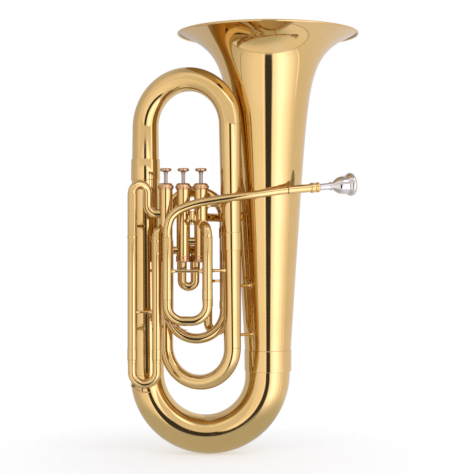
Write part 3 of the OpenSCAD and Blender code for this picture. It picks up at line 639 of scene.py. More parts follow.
def foot(centre, out, tube_r, length, width):
    """A brace foot: an oval plate that lies on a round upright tube, facing out."""
    thick, power = 1.1, 1.5
    out = (out - UP * out.dot(UP)).normalized()
    side = UP.cross(out)
    outline = oval(length, width, 48, power)
    shares = [0.0, 0.35, 0.7, 0.86, 0.95, 1.0]
    heights = [1.0, 1.0, 1.0, 0.9, 0.6, 0.15]
    build = bmesh.new()
    layers = []
    for layer in ("top", "bottom"):
        rings = []
        for share, height in zip(shares, heights):
            ring = []
            for x, y in (outline if share else outline[:1]):
                u, v = x * share, y * share
                lift = thick * height if layer == "top" else -0.4
                reach = math.sqrt(max(tube_r ** 2 - v ** 2, 0.01)) + lift
                ring.append(build.verts.new((centre + UP * u + side * v + out * reach) * MM))
            rings.append(ring)
        layers.append(rings)
    for rings in layers:
        for inner, outer in zip(rings, rings[1:]):
            for k in range(len(outer)):
                m = (k + 1) % len(outer)
                add_face(build, [*corners_of(inner, k, m), outer[m], outer[k]])
    top, bottom = layers[0][-1], layers[1][-1]
    for k in range(len(top)):
        m = (k + 1) % len(top)
        add_face(build, [top[k], top[m], bottom[m], bottom[k]])
    bmesh.ops.recalc_face_normals(build, faces=build.faces)
    return made_mesh(build, "foot")


def join(meshes, name):
    """One mesh from several."""
    build = bmesh.new()
    for mesh in meshes:
        build.from_mesh(mesh)
        bpy.data.meshes.remove(mesh)
    return made_mesh(build, name)


def piece(node, meshes):
    """Makes the finished piece that stands for a node, on the node's own body."""
    mesh = join(meshes, node) if len(meshes) > 1 else meshes[0]
    mesh.name = node + "_finished"
    mesh.materials.clear()
    mesh.materials.append(MATERIALS[SLOT_OF[node]])
    mesh.polygons.foreach_set("material_index", [0] * len(mesh.polygons))
    mesh.shade_smooth()
    mesh.set_sharp_from_angle(angle=math.radians(33))
    if "tube_radius" in mesh.attributes:
        mesh.attributes.remove(mesh.attributes["tube_radius"])
    made = place_object(node + "_finished", mesh)
    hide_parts(node)
    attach(made, BODY_OF[node])
    return made


# ---------------------------------------------------------------- operators


class TUBA_OT_bell(bpy.types.Operator):
    """Build the bell, its rim and its ferrule"""

    bl_idname = "tuba.bell"
    bl_label = "Bell"

    def execute(self, context):
        sides = context.scene.tuba_shape.bell_sides
        path = Path(at(BELL_AXIS, BELL_JOINT_Z), bell_r(BELL_JOINT_Z))
        rings = 110
        for step in range(1, rings + 1):
            z = between(BELL_JOINT_Z, BELL_EDGE_Z, 1 - (1 - step / rings) ** 2)
            path.line(at(BELL_AXIS, z), bell_r(z))
        bell = sweep(path, BELL_WALL, sides)
        self.leave_throat_raw(bell)
        piece("bell", [bell])
        bead = 2.4
        ring = [(BELL_RIM_R - bead + x, HEIGHT - bead + y) for x, y in circle(bead, 20)]
        piece("bell_rim_wire", [lathe(ring, BELL_AXIS, fillet=0, sides=sides)])
        band = tube_outline(46.4, (46.9, 168.4), (47.15, 169.4), (47.6, 210), (47.2, 211))
        piece("bell_ferrule", [lathe(band, BELL_AXIS, sides=128)])
        return {"FINISHED"}

    def leave_throat_raw(self, bell):
        """The lacquer stops inside the flare; the throat below it is plain, dull brass."""
        bare, lacquered = 0.70, 0.815
        raw = bell.attributes.new(RAW_INSIDE, "FLOAT", "POINT")
        centre = Vector(BELL_AXIS) * MM
        for spot, vertex in zip(raw.data, bell.vertices):
            outward = vertex.co.xy - centre
            inside = vertex.normal.xy.dot(outward) < 0
            spot.value = min(max((lacquered - vertex.co.z) / (lacquered - bare), 0), 1) if inside else 0


class TUBA_OT_large_tubes(bpy.types.Operator):
    """Build the bows, branches and legs that carry the widening bore"""

    bl_idname = "tuba.large_tubes"
    bl_label = "Large tubes"

    def execute(self, context):
        start = (-LEFT_FOOT[0], 0)
        bow = Path(at(start, BELL_JOINT_Z), BOW_BELL_R).line(at(start, BOW_Z)).u_turn(LEFT_FOOT, -1, BOW_LEFT_R)
        piece("bottom_bow", [sweep(bow, sides=96)])
        left = Path(at(LEFT_FOOT, BOW_Z), BOW_LEFT_R).line(at(LEFT_TOP, LEFT_JOINT_Z), 27.9)
        piece("left_branch", [sweep(left, sides=80)])
        low, high = branch(LEFT_TOP, LEFT_FOOT, LEFT_JOINT_Z, BOW_Z, 553), 42.0
        band = tube_outline(28.4, (29.2, 0), (29.6, 0.8), (29.0, high - 0.8), (28.6, high))
        piece("left_ferrule", [lathe(band, low, (-3.1, 0, 412), sides=96)])
        top = Path(at(LEFT_TOP, 574.2), 27.4).line(at(LEFT_TOP, TOP_BOW_Z), LEFT_TOP_R)
        piece("top_bow", [sweep(top.u_turn(RIGHT_TOP, 1, RIGHT_TOP_R), sides=88)])
        middle = at(RIGHT_TOP, TOP_BOW_Z).lerp(at(RIGHT_FOOT, SECOND_BOW_Z), 0.5225)
        right = Path(at(RIGHT_TOP, TOP_BOW_Z), RIGHT_TOP_R).line(middle, 18.9)
        piece("right_branch", [sweep(right.line(at(RIGHT_FOOT, SECOND_BOW_Z), RIGHT_FOOT_R), sides=72)])
        band = tube_outline(19.2, (19.9, 0), (20.3, 0.7), (20.3, 34.3), (19.9, 35))
        piece("right_ferrule", [lathe(band, at((48.6, -75), 412), (-0.38, 0, 35), sides=80)])
        second = Path(at(RIGHT_FOOT, SECOND_BOW_Z), RIGHT_FOOT_R).u_turn(INNER_LEFT_FOOT, -1, SECOND_END_R)
        piece("second_bow", [sweep(second, sides=72)])
        inner = Path(at(INNER_LEFT_FOOT, SECOND_BOW_Z), SECOND_END_R)
        inner.line(at(INNER_LEFT_TOP, INNER_BOW_Z), INNER_BOW_R)
        collar = tube_outline(INNER_BOW_R, (12.5, 436), (12.8, 436.6), (12.6, 456.4), (12.2, 457))
        piece("inner_left_leg", [sweep(inner), lathe(collar, INNER_LEFT_TOP)])
        piece("inner_top_bow", [sweep(Path(at(INNER_LEFT_TOP, INNER_BOW_Z), INNER_BOW_R).u_turn(INNER_RIGHT, 1))])
        leg = Path(at(INNER_RIGHT, INNER_BOW_Z), INNER_BOW_R).line(at(INNER_RIGHT, THIRD_BOW_Z), THIRD_BOW_R)
        collars = [tube_outline(10.9, (11.7, 436), (12.2, 436.6), (12.2, 456.4), (11.8, 457)),
                   tube_outline(10.1, (10.8, 296), (11.2, 296.5), (11.2, 311.5), (10.9, 312))]
        piece("inner_right_leg", [sweep(leg), *[lathe(collar, INNER_RIGHT) for collar in collars]])
        piece("third_bow", [sweep(Path(at(INNER_RIGHT, THIRD_BOW_Z), THIRD_BOW_R).u_turn(THIRD_LEFT, -1))])
        exit_z, bend = 437, 12.8
        rise = Path(at(THIRD_LEFT, THIRD_BOW_Z), THIRD_BOW_R).line(at(THIRD_LEFT, exit_z - bend))
        piece("valve_exit_tube", [sweep(rise.enter(VALVES[3], bend), saddle=(VALVES[3], THIRD_LEFT))])
        return {"FINISHED"}


class TUBA_OT_valves(bpy.types.Operator):
    """Build the valve casings, caps, knuckles, guides and cap felts"""

    bl_idname = "tuba.valves"
    bl_label = "Valve casings"

    def execute(self, context):
        ribs = context.scene.tuba_shape.ribs
        for number, spot in VALVES.items():
            body = tube_outline(BORE_R, *[(CASING_R, z) for z in (392, 402, 403, 470, 528, 541)])
            piece(f"valve_casing_{number}", [lathe(body, spot, sides=80)])
            top = [(4.0, 541.1), (13.35, 541.1), (13.35, 531.5, 0.1), (14.2, 531.5), (14.7, 532.6), (14.7, 533.2),
                   (15.3, 533.6), (15.3, 538.4), (14.9, 539.2), (14.5, 540.2), (12.2, 543.6, 1.2), (9.5, 544.0),
                   (6.2, 544.3), (4.0, 544.3)]
            knurl = self.knurl(at(spot, 536), 15.28, 4.4, ribs)
            piece(f"top_cap_{number}", [lathe(top, spot, sides=96), knurl])
            low = [(1.6, 390.5), (12.1, 390.5), (12.1, 392), (13.35, 392, 0.1), (13.35, 401, 0.1), (14.0, 401),
                   (14.3, 400.2), (14.3, 396.2), (14.0, 395.4), (14.0, 394.2), (14.4, 393.4), (14.4, 390.8),
                   (13.4, 389.2), (5.0, 389.0, 1.5), (3.4, 388.2), (1.6, 388.2)]
            knurl = self.knurl(at(spot, 392.2), 14.28, 2.0, ribs)
            piece(f"bottom_cap_{number}", [lathe(low, spot, sides=96), knurl])
        piece("knuckles", [self.knuckle(VALVES[1], VALVES[2], 430), self.knuckle(VALVES[2], VALVES[3], 412)])
        washer = [(4.1, 528.1), (9, 528.1), (9, 540.9), (4.1, 540.9)]
        guide = [(4, 499), (12.08, 499), (12.08, 502), (4, 502)]
        for node, outline in (("cap_felts", washer), ("valve_guides", guide)):
            piece(node, [lathe(outline, spot) for spot in VALVES.values()])
        return {"FINISHED"}

    def knuckle(self, right, left, z):
        """The short level tube between two casings."""
        start, radius = ACROSS * 11, 7.7
        tube = sweep(Path(at(right, z) - start, radius).line(at(left, z) + start), saddle=(left, right))
        cut_to_casing(tube, right, left)
        return tube

    def knurl(self, centre, radius, height, count):
        seed = bpy.data.meshes.new("seed")
        values = {"Count": count, "Ring Radius": radius * MM, "Finish": MATERIALS["cap_brass"],
                  "Rib Size": (0.62 * MM, 0.8 * MM, height * MM)}
        ring = apply_tree(seed, TREES["ribs"], values)
        ring.transform(Matrix.Translation(centre * MM))
        return ring


class TUBA_OT_pistons(bpy.types.Operator):
    """Build the pistons, stems, buttons and valve springs"""

    bl_idname = "tuba.pistons"
    bl_label = "Pistons and springs"

    def execute(self, context):
        for number, spot in VALVES.items():
            body = [(0, 404.9), (PISTON_R, 404.9), (PISTON_R, 494), (9.4, 494), (8.6, 496.4), (4.6, 496.8),
                    (STEM_R, 498), (STEM_R, 525), (9, 525), (9, 528), (STEM_R, 528), (STEM_R, 561.6), (4.3, 562.4),
                    (4.3, 565.5), (0, 565.5)]
            piece(f"piston_{number}", [lathe(body, spot)])
            button = [(0, 565.52), (5.2, 565.52), (6.4, 566.6, 0.8), (9.8, 567.0, 1.0), (11.2, 568.4, 0.9),
                      (11.5, 569.6), (11.5, 571.0, 0.8), (10.9, 572.4, 0.6), (9.6, 573.3, 0.5), (8.7, 572.8, 0.4),
                      (0, 572.4)]
            piece(f"finger_button_{number}", [lathe(button, spot, sides=96)])
            self.spring(number, spot)
        return {"FINISHED"}

    def spring(self, number, spot):
        """A wound wire whose end turns lie flat."""
        low, high, radius, wire, turns = 502.7, 524.3, 7.0, 0.6, 6.5
        steps = 180
        points = []
        for (x, y), step in zip(winding(radius, turns, steps), range(steps + 1)):
            eased = min(max((step / steps * turns - 0.75) / (turns - 1.5), 0), 1)
            points.append(at(spot, between(low, high, eased)) + Vector((x, y, 0)))
        made = piece(f"valve_spring_{number}", [sweep(through(points, wire), 0, 12)])
        seat = at(spot, 502.05) * MM
        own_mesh(made)


LEAD_ROUTE = [(-75.5, -108, 437.5), (-75.5, -108, 452), (-69.8, -108, 474), (-57.5, -108, 487.5), (-41, -108, 496),
              (-12, -108, 505), (25, -108, 511.5), (60, -107.6, 516.5), (95, -105, 521), (128, -99.5, 525.8),
              (157.5, -91.5, 529.8)]
LEAD_RADII = [8.9, 8.8, 8.6, 8.5, 8.4, 8.2, 8, 7.8, 7.6, 7.4, 7.2]
MOUTH_TURN = math.radians(20)
MOUTH_START = Vector((157.2, -91.6, 529.8))
MOUTH_DIR = Vector((math.cos(MOUTH_TURN), math.sin(MOUTH_TURN), 0.103 * math.cos(MOUTH_TURN))).normalized()


def spline(points, steps):
    """A smooth curve through points, as Catmull-Rom spans."""
    result = []
    points = [Vector(p) for p in points]
    for i in range(len(points) - 1):
        a, b, c, d = points[max(i - 1, 0)], points[i], points[i + 1], points[min(i + 2, len(points) - 1)]
        for step in range(steps):
            t = step / steps
            result.append(0.5 * (2 * b + (c - a) * t + (2 * a - 5 * b + 4 * c - d) * t ** 2
                                 + (3 * b - a - 3 * c + d) * t ** 3))
    return result + [points[-1]]


class TUBA_OT_leadpipe(bpy.types.Operator):
    """Build the leadpipe and the mouthpiece receiver"""

    bl_idname = "tuba.leadpipe"
    bl_label = "Leadpipe"

    def execute(self, context):
        steps = 12
        points = spline(LEAD_ROUTE, steps)
        path = Path(points[0], LEAD_RADII[0])
        for i, point in enumerate(points[1:], 1):
            span, share = divmod(i / steps, 1)
            span = int(span)
            path.line(point, between(LEAD_RADII[span], LEAD_RADII[min(span + 1, len(LEAD_RADII) - 1)], share))
        piece("leadpipe", [sweep(path), tuning_collar(TUNING_LEFT)])
        shape = [(5.6, 1.0), (7.5, 1.0), (8.1, 1.8), (8.1, 48), (8.9, 49.2, 0.8), (10.0, 51.2, 0.8), (10.1, 54.5, 1),
                 (9.9, 58.2, 0.8), (8.8, 60, 0.6), (8.8, 61.8, 0.5), (10.1, 63.2, 0.6), (10.1, 66.6, 0.7),
                 (9.3, 68, 0.5), (6.74, 68), (5.92, 30), (5.6, 29)]
        piece("mouthpiece_receiver", [lathe(shape, MOUTH_START, MOUTH_DIR, sides=80)])
        return {"FINISHED"}


class TUBA_OT_mouthpiece(bpy.types.Operator):
    """Build the cup mouthpiece"""

    bl_idname = "tuba.mouthpiece"
    bl_label = "Mouthpiece"

    def execute(self, context):
        shank = [(4.0, 33), (5.9, 33), (6.55, 68.3), (6.95, 90.4), (7.3, 91.4, 0.3), (8.3, 92.2, 0.4), (8.5, 93.4, 0.5),
                 (8.3, 94.8, 0.4), (7.3, 95.8, 0.5)]
        cup = spline([(7.3, 97.2), (9.6, 100.6), (12.6, 104.6), (15.2, 108.5), (17.0, 113.8), (17.9, 119.4),
                      (18.3, 124), (18.9, 127.6), (20.4, 130.2), (21.9, 132.6), (22.75, 134.8), (23.0, 136.8),
                      (22.7, 139), (21.7, 141), (20.1, 142.1), (18.3, 142.0), (16.9, 140.6), (16.2, 138),
                      (15.8, 134), (15.1, 126), (13.6, 117), (10.4, 109), (6.6, 104), (4.2, 100)], 4)
        piece("mouthpiece", [lathe(shank + [(p.x, p.y, 0) for p in cup], MOUTH_START, MOUTH_DIR, sides=112)])
        return {"FINISHED"}


def tuning_collar(spot):
    """The band where a fixed tube meets a sleeve of the main tuning slide."""
    z = TUNING_JOINT_Z
    return lathe(tube_outline(8.8, (9.5, z), (9.9, z + 0.6), (9.9, z + 3.9), (9.5, z + 4.5)), spot)


def sleeve(spot, low, high, radius):
    """An outer slide sleeve with a reinforcing band at its mouth."""
    return lathe(tube_outline(radius - WALL, (radius + 0.15, low), (radius + 0.5, low + 0.6),
                              (radius + 0.5, low + 20.4), (radius, low + 21), (radius, high)), spot)


def inner_leg(spot, low, high, shoulder, radius, leg_radius):
    """The part of a sliding bow that runs inside a sleeve, with its shoulder below."""
    return lathe([(leg_radius - WALL, low), (radius, low, 0.05), (radius, shoulder - 6), (radius + 0.5, shoulder - 5.4),
                  (radius + 0.5, shoulder), (leg_radius, shoulder, 0.1), (leg_radius, high), (leg_radius - WALL, high)],
                 spot)


class TUBA_OT_tuning_slide(bpy.types.Operator):
    """Build the main tuning slide, its sleeves and the tube into the first valve"""

    bl_idname = "tuba.tuning_slide"
    bl_label = "Main tuning slide"

    def execute(self, context):
        leg_r = SLEEVE_R - WALL - GAP
        piece("tuning_sleeves", [sleeve(spot, 316.4, 437.3, SLEEVE_R) for spot in (TUNING_LEFT, TUNING_RIGHT)])
        back = Path(at(TUNING_RIGHT, TUNING_JOINT_Z), SLEEVE_R - 1)
        back.line(at(TUNING_RIGHT, TUNING_JOINT_Z + 4.5)).enter(VALVES[1], 19)
        heading = (Vector(TUNING_RIGHT) - Vector(VALVES[1])).normalized()
        flange = tube_outline(8.8, (10.6, 12.6), (10.9, 13.4), (10.9, 15.0), (10.2, 15.6))
        piece("tuning_return_tube", [sweep(back, saddle=(VALVES[1], TUNING_RIGHT)), tuning_collar(TUNING_RIGHT),
                                     lathe(flange, at(VALVES[1], 461), heading.to_3d())])
        corner, low = 31.0, 306.0
        left, right = (at(spot, low) + ACROSS * inward for spot, inward in
                       ((TUNING_LEFT, corner), (TUNING_RIGHT, -corner)))
        bow = Path(at(TUNING_LEFT, low), SLIDE_R).arc(left, -BACK, 90)
        bow.line(right + DOWN * corner).arc(right, -BACK, 90)
        legs = [inner_leg(spot, low, 405, 316.2, SLIDE_R, leg_r) for spot in (TUNING_LEFT, TUNING_RIGHT)]
        piece("tuning_slide", [sweep(bow), *legs, nipple(TUNING_KEY)])
        return {"FINISHED"}


class TUBA_OT_valve_slides(bpy.types.Operator):
    """Build the fixed tubes and the sliding bow of each valve"""

    bl_idname = "tuba.valve_slides"
    bl_label = "Valve slides"

    def execute(self, context):
        first = [self.sleeve(FIRST_LEFT, FIRST_LOW_Z, 438), self.sleeve(FIRST_RIGHT, FIRST_LOW_Z, 463),
                 self.port(FIRST_RIGHT, 463, 14, 1), self.port(FIRST_LEFT, 438, 14, 1)]
        piece("first_slide_tubes", first)
        self.bow("first_slide", FIRST_LEFT, FIRST_RIGHT, 268, 380, FIRST_LOW_Z)
        second = [self.sleeve(SECOND_LEFT, SECOND_LOW_Z, 459.2), self.sleeve(SECOND_RIGHT, SECOND_LOW_Z, 401),
                  self.port(SECOND_LEFT, 459.2, 10.8, 2), self.port(SECOND_RIGHT, 401, 13, 2)]
        piece("second_slide_tubes", second)
        self.bow("second_slide", SECOND_LEFT, SECOND_RIGHT, 352.8, 400, SECOND_LOW_Z)
        over = Path(at(THIRD_OUTER, 524), PORT_R).u_turn(THIRD_DROP, 1)
        over.line(at(THIRD_DROP, 500)).enter(VALVES[3], 16, rising=False)
        third = [self.sleeve(THIRD_OUTER, THIRD_LOW_Z, 524), self.sleeve(THIRD_INNER, THIRD_LOW_Z, 440.6),
                 sweep(over, saddle=(VALVES[3], THIRD_DROP)), self.port(THIRD_INNER, 440.6, 10.4, 3)]
        for spot, z in ((THIRD_OUTER, 436), (THIRD_INNER, 404), (THIRD_INNER, 428)):
            band = tube_outline(PORT_SLEEVE_R - 0.1, (9.7, z), (10.0, z + 0.5), (10.0, z + 3.5), (9.7, z + 4))
            third.append(lathe(band, spot))
        piece("third_slide_tubes", third)
        self.bow("third_slide", THIRD_OUTER, THIRD_INNER, 175, 320, THIRD_LOW_Z, nipple(THIRD_KEY))
        return {"FINISHED"}

    def sleeve(self, spot, low, high):
        return sleeve(spot, low, high, PORT_SLEEVE_R)

    def port(self, spot, start_z, bend_radius, number):
        """The bend from a slide leg into its valve casing."""
        path = Path(at(spot, start_z), PORT_R).enter(VALVES[number], bend_radius)
        return sweep(path, saddle=(VALVES[number], spot))

    def bow(self, node, left, right, low, high, sleeve_z, *extra):
        """A sliding bow whose shoulders stop just below its sleeves."""
        leg_r = PORT_SLEEVE_R - WALL - GAP
        legs = [inner_leg(spot, low, high, sleeve_z - 0.2, PORT_R, leg_r) for spot in (left, right)]
        piece(node, [sweep(Path(at(left, low), PORT_R).u_turn(right, -1)), *legs, *extra])


class TUBA_OT_braces(bpy.types.Operator):
    """Build the braces and their feet"""

    bl_idname = "tuba.braces"
    bl_label = "Braces"

    def execute(self, context):
        right, third = (49.6, -75), PORT_SLEEVE_R
        front = (
            (TUNING_LEFT, TUNING_RIGHT, 372, SLEEVE_R, SLEEVE_R, 3, 6.5, 5),
            (TUNING_RIGHT, right, 373, SLEEVE_R, 18.5, 3, 6.5, 5),
            (THIRD_OUTER, THIRD_INNER, 292, third, third, 2.6, 5.5, 4.4),
        )
        body = (
            (right, BELL_AXIS, 342, 18.1, bell_r(342), 3, 9, 7.5),
            ((50.4, -75), BELL_AXIS, 245, 17.0, bell_r(245), 3, 9, 7.5),
            ((171, -86.4), BELL_AXIS, 531, 8.1, bell_r(531), 3, 8, 6),
            ((58, -107.7), (48.6, -75), 516.3, 7.8, 19.8, 3.2, 6, 5),
            (THIRD_OUTER, (-123.8, 0), 460, third, 29.3, 3, 8, 6.5),
            (THIRD_OUTER, (-122, 0), 257, third, 32.2, 3, 8, 6.5),
            (INNER_LEFT_TOP, (-123, 0), 400, 11.8, 30.2, 3, 7, 6),
            (INNER_RIGHT, (50.2, -75), 330, 10.5, 17.8, 3, 6, 5),
            (FIRST_LEFT, FIRST_RIGHT, 350, third, third, 2.6, 5.5, 4.4),
            (FIRST_RIGHT, BELL_AXIS, 400, third, bell_r(400), 3, 7, 6),
            (VALVES[1], (48, -75), 500, CASING_R, 19.6, 3, 7, 6),
        )
        for node, rows in (("front_braces", front), ("body_braces", body)):
            piece(node, [mesh for row in rows for mesh in self.brace(*row)])
        return {"FINISHED"}

    def brace(self, start, end, z, start_r, end_r, rod_r, foot_long, foot_wide):
        """A waisted rod between two upright tubes, with a fitted foot on each."""
        a, b = at(start, z), at(end, z)
        way = (b - a).normalized()
        a_skin, b_skin = start_r + 0.4, (b - a).length - end_r - 0.4
        flare = min(4.0, (b_skin - a_skin) * 0.3)
        rod = lathe([(0, a_skin), (rod_r * 1.5, a_skin), (rod_r, a_skin + flare, 2), (rod_r, b_skin - flare, 2),
                     (rod_r * 1.5, b_skin), (0, b_skin)], a, way, sides=40)
        return [rod, foot(a, way, start_r, foot_long, foot_wide), foot(b, -way, end_r, foot_long, foot_wide)]


LYRE = (-28.4, -99.0)


class TUBA_OT_lyre_holder(bpy.types.Operator):
    """Build the lyre holder and its thumb screw"""

    bl_idname = "tuba.lyre_holder"
    bl_label = "Lyre holder"

    def execute(self, context):
        socket = lathe([(3.25, 462), (4.6, 462), (5, 462.6), (5, 488.4), (4.6, 489), (3.25, 489)], LYRE, sides=48)
        arm = at(LYRE, 475)
        web = plate([(-6, -9), (6, -9), (6, 9), (-6, 9)], 4.6, arm + BACK * 8.5, BACK, UP, 0.8)
        pad = plate(oval(7.6, 9, 40, 3.0), 1.5, arm + BACK * 12, ACROSS, UP, 0.5)
        screw = at(LYRE, 470)
        boss = lathe([(1.85, -8), (3.2, -8), (3.6, -7.4), (3.6, -4.3), (1.85, -4.3)], screw, BACK, sides=40)
        piece("lyre_holder", [socket, web, pad, boss])
        head = screw - BACK * 15
        stem = lathe([(0, 0), (2.4, 0), (3, 0.6), (3, 4.4), (2.5, 5), (1.8, 5), (1.8, 11.2), (0, 11.4)],
                     head, BACK, sides=40)
        outline = []
        for x, y in oval(9.4, 4.2, 48, 1.75):
            waist = 1 - 0.18 * math.exp(-(x / 2.2) ** 2)
            outline.append((x, y * waist))
        wing = plate(outline, 2.4, head + BACK * 1.7, ACROSS, UP, 0.8)
        piece("lyre_screw", [stem, wing])
        return {"FINISHED"}


class Key:
    """Where a lever water key sits on the outside of a bend."""

    def __init__(self, centre, outer_r, tube_r, seat_angle, hinge, reach, drop):
        self.centre, self.outer_r, self.tube_r = Vector(centre), outer_r, tube_r
        angle = math.radians(seat_angle)
        self.out = Vector((math.cos(angle), 0, math.sin(angle)))
        self.hinge = self.centre + Vector((hinge[0], 0, hinge[1]))
        self.tip = self.hinge + Vector((reach, 0, drop))

    def seat(self, height):
        """The point on the nipple's axis that is height mm above the tube."""
        return self.centre + self.out * (self.outer_r + height)


TUNING_KEY = Key((-44.5, -108, 306), 31 + SLIDE_R, SLIDE_R, 225, (-17.6, -39.6), 20, -8.4)
THIRD_KEY = Key((-120.7, -95, 175), 23.8 + PORT_R, PORT_R, 231, (-5, -38.8), 11, -0.6)


def nipple(key):
    """The short spout under a water key's pad."""
    return lathe([(1.2, -1.2), (3.6, -1.2), (3.4, -0.2, 0.6), (2.6, 0.6, 0.6), (2.6, 1.4), (1.2, 1.4)],
                 key.seat(0), key.out, sides=40)


class TUBA_OT_water_keys(bpy.types.Operator):
    """Build both water keys: saddle, pin, lever, cork and spring"""

    bl_idname = "tuba.water_keys"
    bl_label = "Water keys"

    def execute(self, context):
        for name, key in (("tuning_key", TUNING_KEY), ("third_key", THIRD_KEY)):
            self.saddle(name, key)
            self.lever(name, key)
            self.spring(name, key)
            cork = lathe([(0, 1.45), (3.5, 1.45, 0.5), (3.7, 2.2), (3.7, 3.78), (0, 3.78)],
                         key.seat(0), key.out, sides=48)
            piece(f"{name}_cork", [cork])
        return {"FINISHED"}

    def saddle(self, name, key):
        """Two ears that stand on the bend and carry the hinge pin."""
        radial = (key.hinge - key.centre).normalized()
        tangent = BACK.cross(radial)
        rise = (key.hinge - key.centre).length - key.outer_r
        outline = [(-2.4, -rise - 0.9), (2.4, -rise - 0.9), (2.2, 0), *circle(2.2, 24)[1:12], (-2.2, 0)]
        ears = [plate(outline, 1.1, key.hinge + BACK * side * 4.1, tangent, radial, 0.25) for side in (-1, 1)]
        pin = lathe([(0, -5.6), (0.9, -5.6), (1.5, -5.1), (1.5, -4.8), (1, -4.7), (1, 4.7), (1.5, 4.8), (1.5, 5.1),
                     (0.9, 5.6), (0, 5.6)], key.hinge, BACK, sides=32)
        piece(f"{name}_saddle", [*ears, pin])

    def lever(self, name, key):
        """Two bent wires from the hinge to the touch and to the pad cup."""
        parts = []
        knuckle, pad = [(1.06, -0.8), (2.2, -0.8), (2.2, 0.8), (1.06, 0.8)], key.seat(5)
        for side in (-1, 1):
            shift = BACK * side * 2.2
            hinge = key.hinge + shift
            parts.append(lathe(knuckle, hinge, BACK, sides=36))
            parts.append(self.wire([key.tip + shift * 0.5, key.hinge.lerp(key.tip, 0.45) + shift - UP * 0.5,
                                    hinge + (key.tip - key.hinge).normalized() * 1.9]))
            parts.append(self.wire([hinge + (pad - key.hinge).normalized() * 1.9,
                                    key.hinge.lerp(pad, 0.6) + shift + key.out * 0.6, pad + shift * 0.6]))
        cup = lathe([(0, 3.85), (3.9, 3.85), (4.2, 3.4, 0.2), (4.4, 3.5, 0.2), (4.4, 5.0, 0.6), (3.2, 5.9, 0.8),
                     (0, 6.1)], key.seat(0), key.out, sides=56)
        touch = lathe([(0, -0.9), (4.6, -0.9, 0.6), (5.6, -0.2, 0.5), (5.6, 0.5, 0.5), (4.4, 0.8, 0.8), (0, 0.25)],
                      key.tip, sides=64)
        piece(f"{name}_lever", [*parts, cup, touch])

    def wire(self, points):
        return sweep(through(spline(points, 8), 0.95), 0, 20)

    def spring(self, name, key):
        """A close-wound wire round the pin."""
        turns, wire, radius, half = 4, 0.27, 1.35, 0.93
        steps = turns * 24
        points = [key.hinge + Vector((x, between(-half, half, step / steps), z))
                  for step, (x, z) in enumerate(winding(radius, turns, steps))]
        piece(f"{name}_spring", [sweep(through(points, wire), 0, 10)])


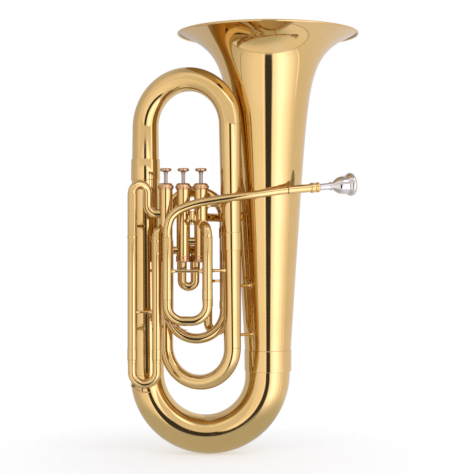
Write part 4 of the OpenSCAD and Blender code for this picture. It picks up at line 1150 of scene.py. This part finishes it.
class TUBA_OT_stage(bpy.types.Operator):
    """Set the floor, the studio light and the camera"""

    bl_idname = "tuba.stage"
    bl_label = "Studio"

    def execute(self, context):
        self.floor()
        self.upper_card(context.scene.tuba_studio)
        self.room(context.scene.tuba_studio)
        camera = place_object("camera", bpy.data.cameras.new("camera"))
        camera.data.sensor_width, camera.data.lens = 36, 103.7
        camera.location = Vector((59.6, -2757, 438.3)) * MM
        camera.rotation_euler = (math.radians(90), 0, 0)
        context.scene.camera = camera
        context.scene.view_settings.view_transform = "Standard"
        return {"FINISHED"}

    def flat(self, name, corners):
        """A single face, with a new material; returns the object and the material's graph."""
        mesh = bpy.data.meshes.new(name)
        mesh.from_pydata(corners, [], [tuple(range(len(corners)))])
        material, graph = new_material(name)
        mesh.materials.append(material)
        return place_object(name, mesh), graph

    def floor(self):
        """A pale disc under the instrument that fades into the white around it."""
        radius, below = 0.55, 0.0002
        floor, graph = self.flat("floor", [(x, y, 0) for x, y in circle(radius, 96)])
        floor.location.z = CAD_BOX[0][2] - below
        place = graph.node("ShaderNodeTexCoord", out="Object")
        pale = graph.mix(graph.noise(place, 3.0, 2.0), (0.905, 0.945, 0.935, 1), (0.925, 0.965, 0.955, 1))
        # Painted shade: in reflections the floor takes this dark grey instead of its pale tone, so the brass mirrors a
        # dimmer floor; the camera still sees the pale floor.
        mirrored_shade = (0.22, 0.24, 0.25, 1)
        paint = graph.node("ShaderNodeBsdfDiffuse", Color=graph.mix(graph.seen(), mirrored_shade, pale))
        glow = graph.node("ShaderNodeEmission", Color=WHITE, Strength=0.4)
        lit = graph.in_order("ShaderNodeAddShader", (paint, glow))
        reach = graph.node("ShaderNodeVectorMath", {"operation": "LENGTH"}, out="Value", Vector=place)
        graph.show(graph.blend(reach.smooth_step(0.2, 0.52), lit, graph.node("ShaderNodeBsdfTransparent")))

    def upper_card(self, studio):
        """A tall pale card behind the camera, whose lower edge stands above the foot of the softbox."""
        half, low, high, behind = 3.5, 0.9, 3.4, -3.0
        card, graph = self.flat("upper_card", [(-half, behind, low), (half, behind, low), (half, behind, high),
                                               (-half, behind, high)])
        tone = graph.noise(graph.node("ShaderNodeTexCoord", out="Object"), 0.7, 2.0)
        glow = graph.node("ShaderNodeEmission", Color=graph.mix(tone, (1, 0.93, 0.945, 1), (1, 0.95, 0.965, 1)),
                          Strength=self.first_seen(graph, studio) * studio.card)
        graph.show(graph.blend(graph.seen(), glow, graph.node("ShaderNodeBsdfTransparent")))

    def first_seen(self, graph, studio):
        """1 where a surface mirrors the room directly, less where the light has bounced between the tubes."""
        depth = graph.node("ShaderNodeLightPath", out="Ray Depth")
        return 1 - depth.smooth_step(2.4, 2.6) * (1 - studio.between)

    def room(self, studio):
        """A pale room with a tall softbox, a dark flag beside it and a panel overhead; angles are in degrees."""
        world = bpy.data.worlds.new("studio")
        bpy.context.scene.world = world
        world.use_nodes = True
        graph = Graph(world.node_tree)
        way = graph.node("ShaderNodeTexCoord", out="Generated")
        x, y, z = (Socket(graph, s) for s in add_node(graph.tree, "ShaderNodeSeparateXYZ", Vector=way).outputs)
        turn = x.math("ARCTAN2", x, y * -1.0) * math.degrees(1)
        rise = z.math("ARCSINE", z) * math.degrees(1)
        gap = turn.window(-9.3, 9.6, 0.8) * rise.window(-52, 20, 3.0)
        box = turn.smooth_step(11, 13) * (1 - turn.smooth_step(28, 90))
        glow = box * (0.52 + 0.48 * turn.smooth_step(13, 33))
        light = studio.wall * (1 - 0.42 * turn.smooth_step(-25, -100) - 0.24 * turn.smooth_step(9, 12))
        light = light + glow * studio.softbox + turn.window(-15.5, -12.5, 0.9) * 0.22
        light = light + turn.window(78.5, 81.5, 1.0) * rise.window(-50, -8, 6.0) * 0.4
        light = light - turn.window(-74.5, -72.5, 0.8) * rise.window(-47, 12, 4.0) * 0.32
        above = rise + 53.06
        ground = 1 - above.smooth_step(-1, 1)
        light = light * (1 - ground) + ground * 0.8 - above.window(-0.6, 0.6, 0.5) * 0.3
        light = light * (1 - gap) + gap * studio.flag
        roof = rise.smooth_step(48, 66)
        light = light * (1 - roof) + roof * studio.ceiling
        tint = graph.mix(glow, (1.0, 0.94, 0.955, 1), (1.0, 0.99, 1.2, 1))
        lit = graph.node("ShaderNodeBackground", Color=tint, Strength=light * self.first_seen(graph, studio))
        plain = graph.node("ShaderNodeBackground", Color=WHITE, Strength=1.0)
        graph.show(graph.blend(graph.seen(), lit, plain), "World")


OPERATORS = (
    TUBA_OT_bell, TUBA_OT_large_tubes, TUBA_OT_valves, TUBA_OT_pistons, TUBA_OT_leadpipe, TUBA_OT_mouthpiece,
    TUBA_OT_tuning_slide, TUBA_OT_valve_slides, TUBA_OT_braces, TUBA_OT_lyre_holder, TUBA_OT_water_keys, TUBA_OT_stage,
)


class TUBA_PT_panel(bpy.types.Panel):
    """Lists the tuba's builders and settings"""

    bl_idname = "TUBA_PT_panel"
    bl_label = "Tuba"
    bl_space_type = "VIEW_3D"
    bl_region_type = "UI"
    bl_category = "Tuba"

    def draw(self, context):
        layout = self.layout
        for key in GROUPS:
            group = getattr(context.scene, key)
            for name in group.__annotations__:
                layout.prop(group, name)
        for operator in OPERATORS:
            layout.operator(operator.bl_idname)


GROUPS = {"tuba_finish": TubaFinish, "tuba_shape": TubaShape, "tuba_studio": TubaStudio}
CLASSES = (*GROUPS.values(), *OPERATORS, TUBA_PT_panel)


def register():
    for kind in CLASSES:
        bpy.utils.register_class(kind)
    for name, kind in GROUPS.items():
        setattr(bpy.types.Scene, name, PointerProperty(type=kind))


def unregister():
    for name in GROUPS:
        delattr(bpy.types.Scene, name)
    for kind in reversed(CLASSES):
        bpy.utils.unregister_class(kind)


def main():
    register()
    MATERIALS.update(make_materials(bpy.context.scene))
    TREES.update({"tube": tube_tree(), "ribs": rib_tree()})
    for operator in OPERATORS:
        group, name = operator.bl_idname.split(".")
        getattr(getattr(bpy.ops, group), name)()


if __name__ == "__main__":
    main()
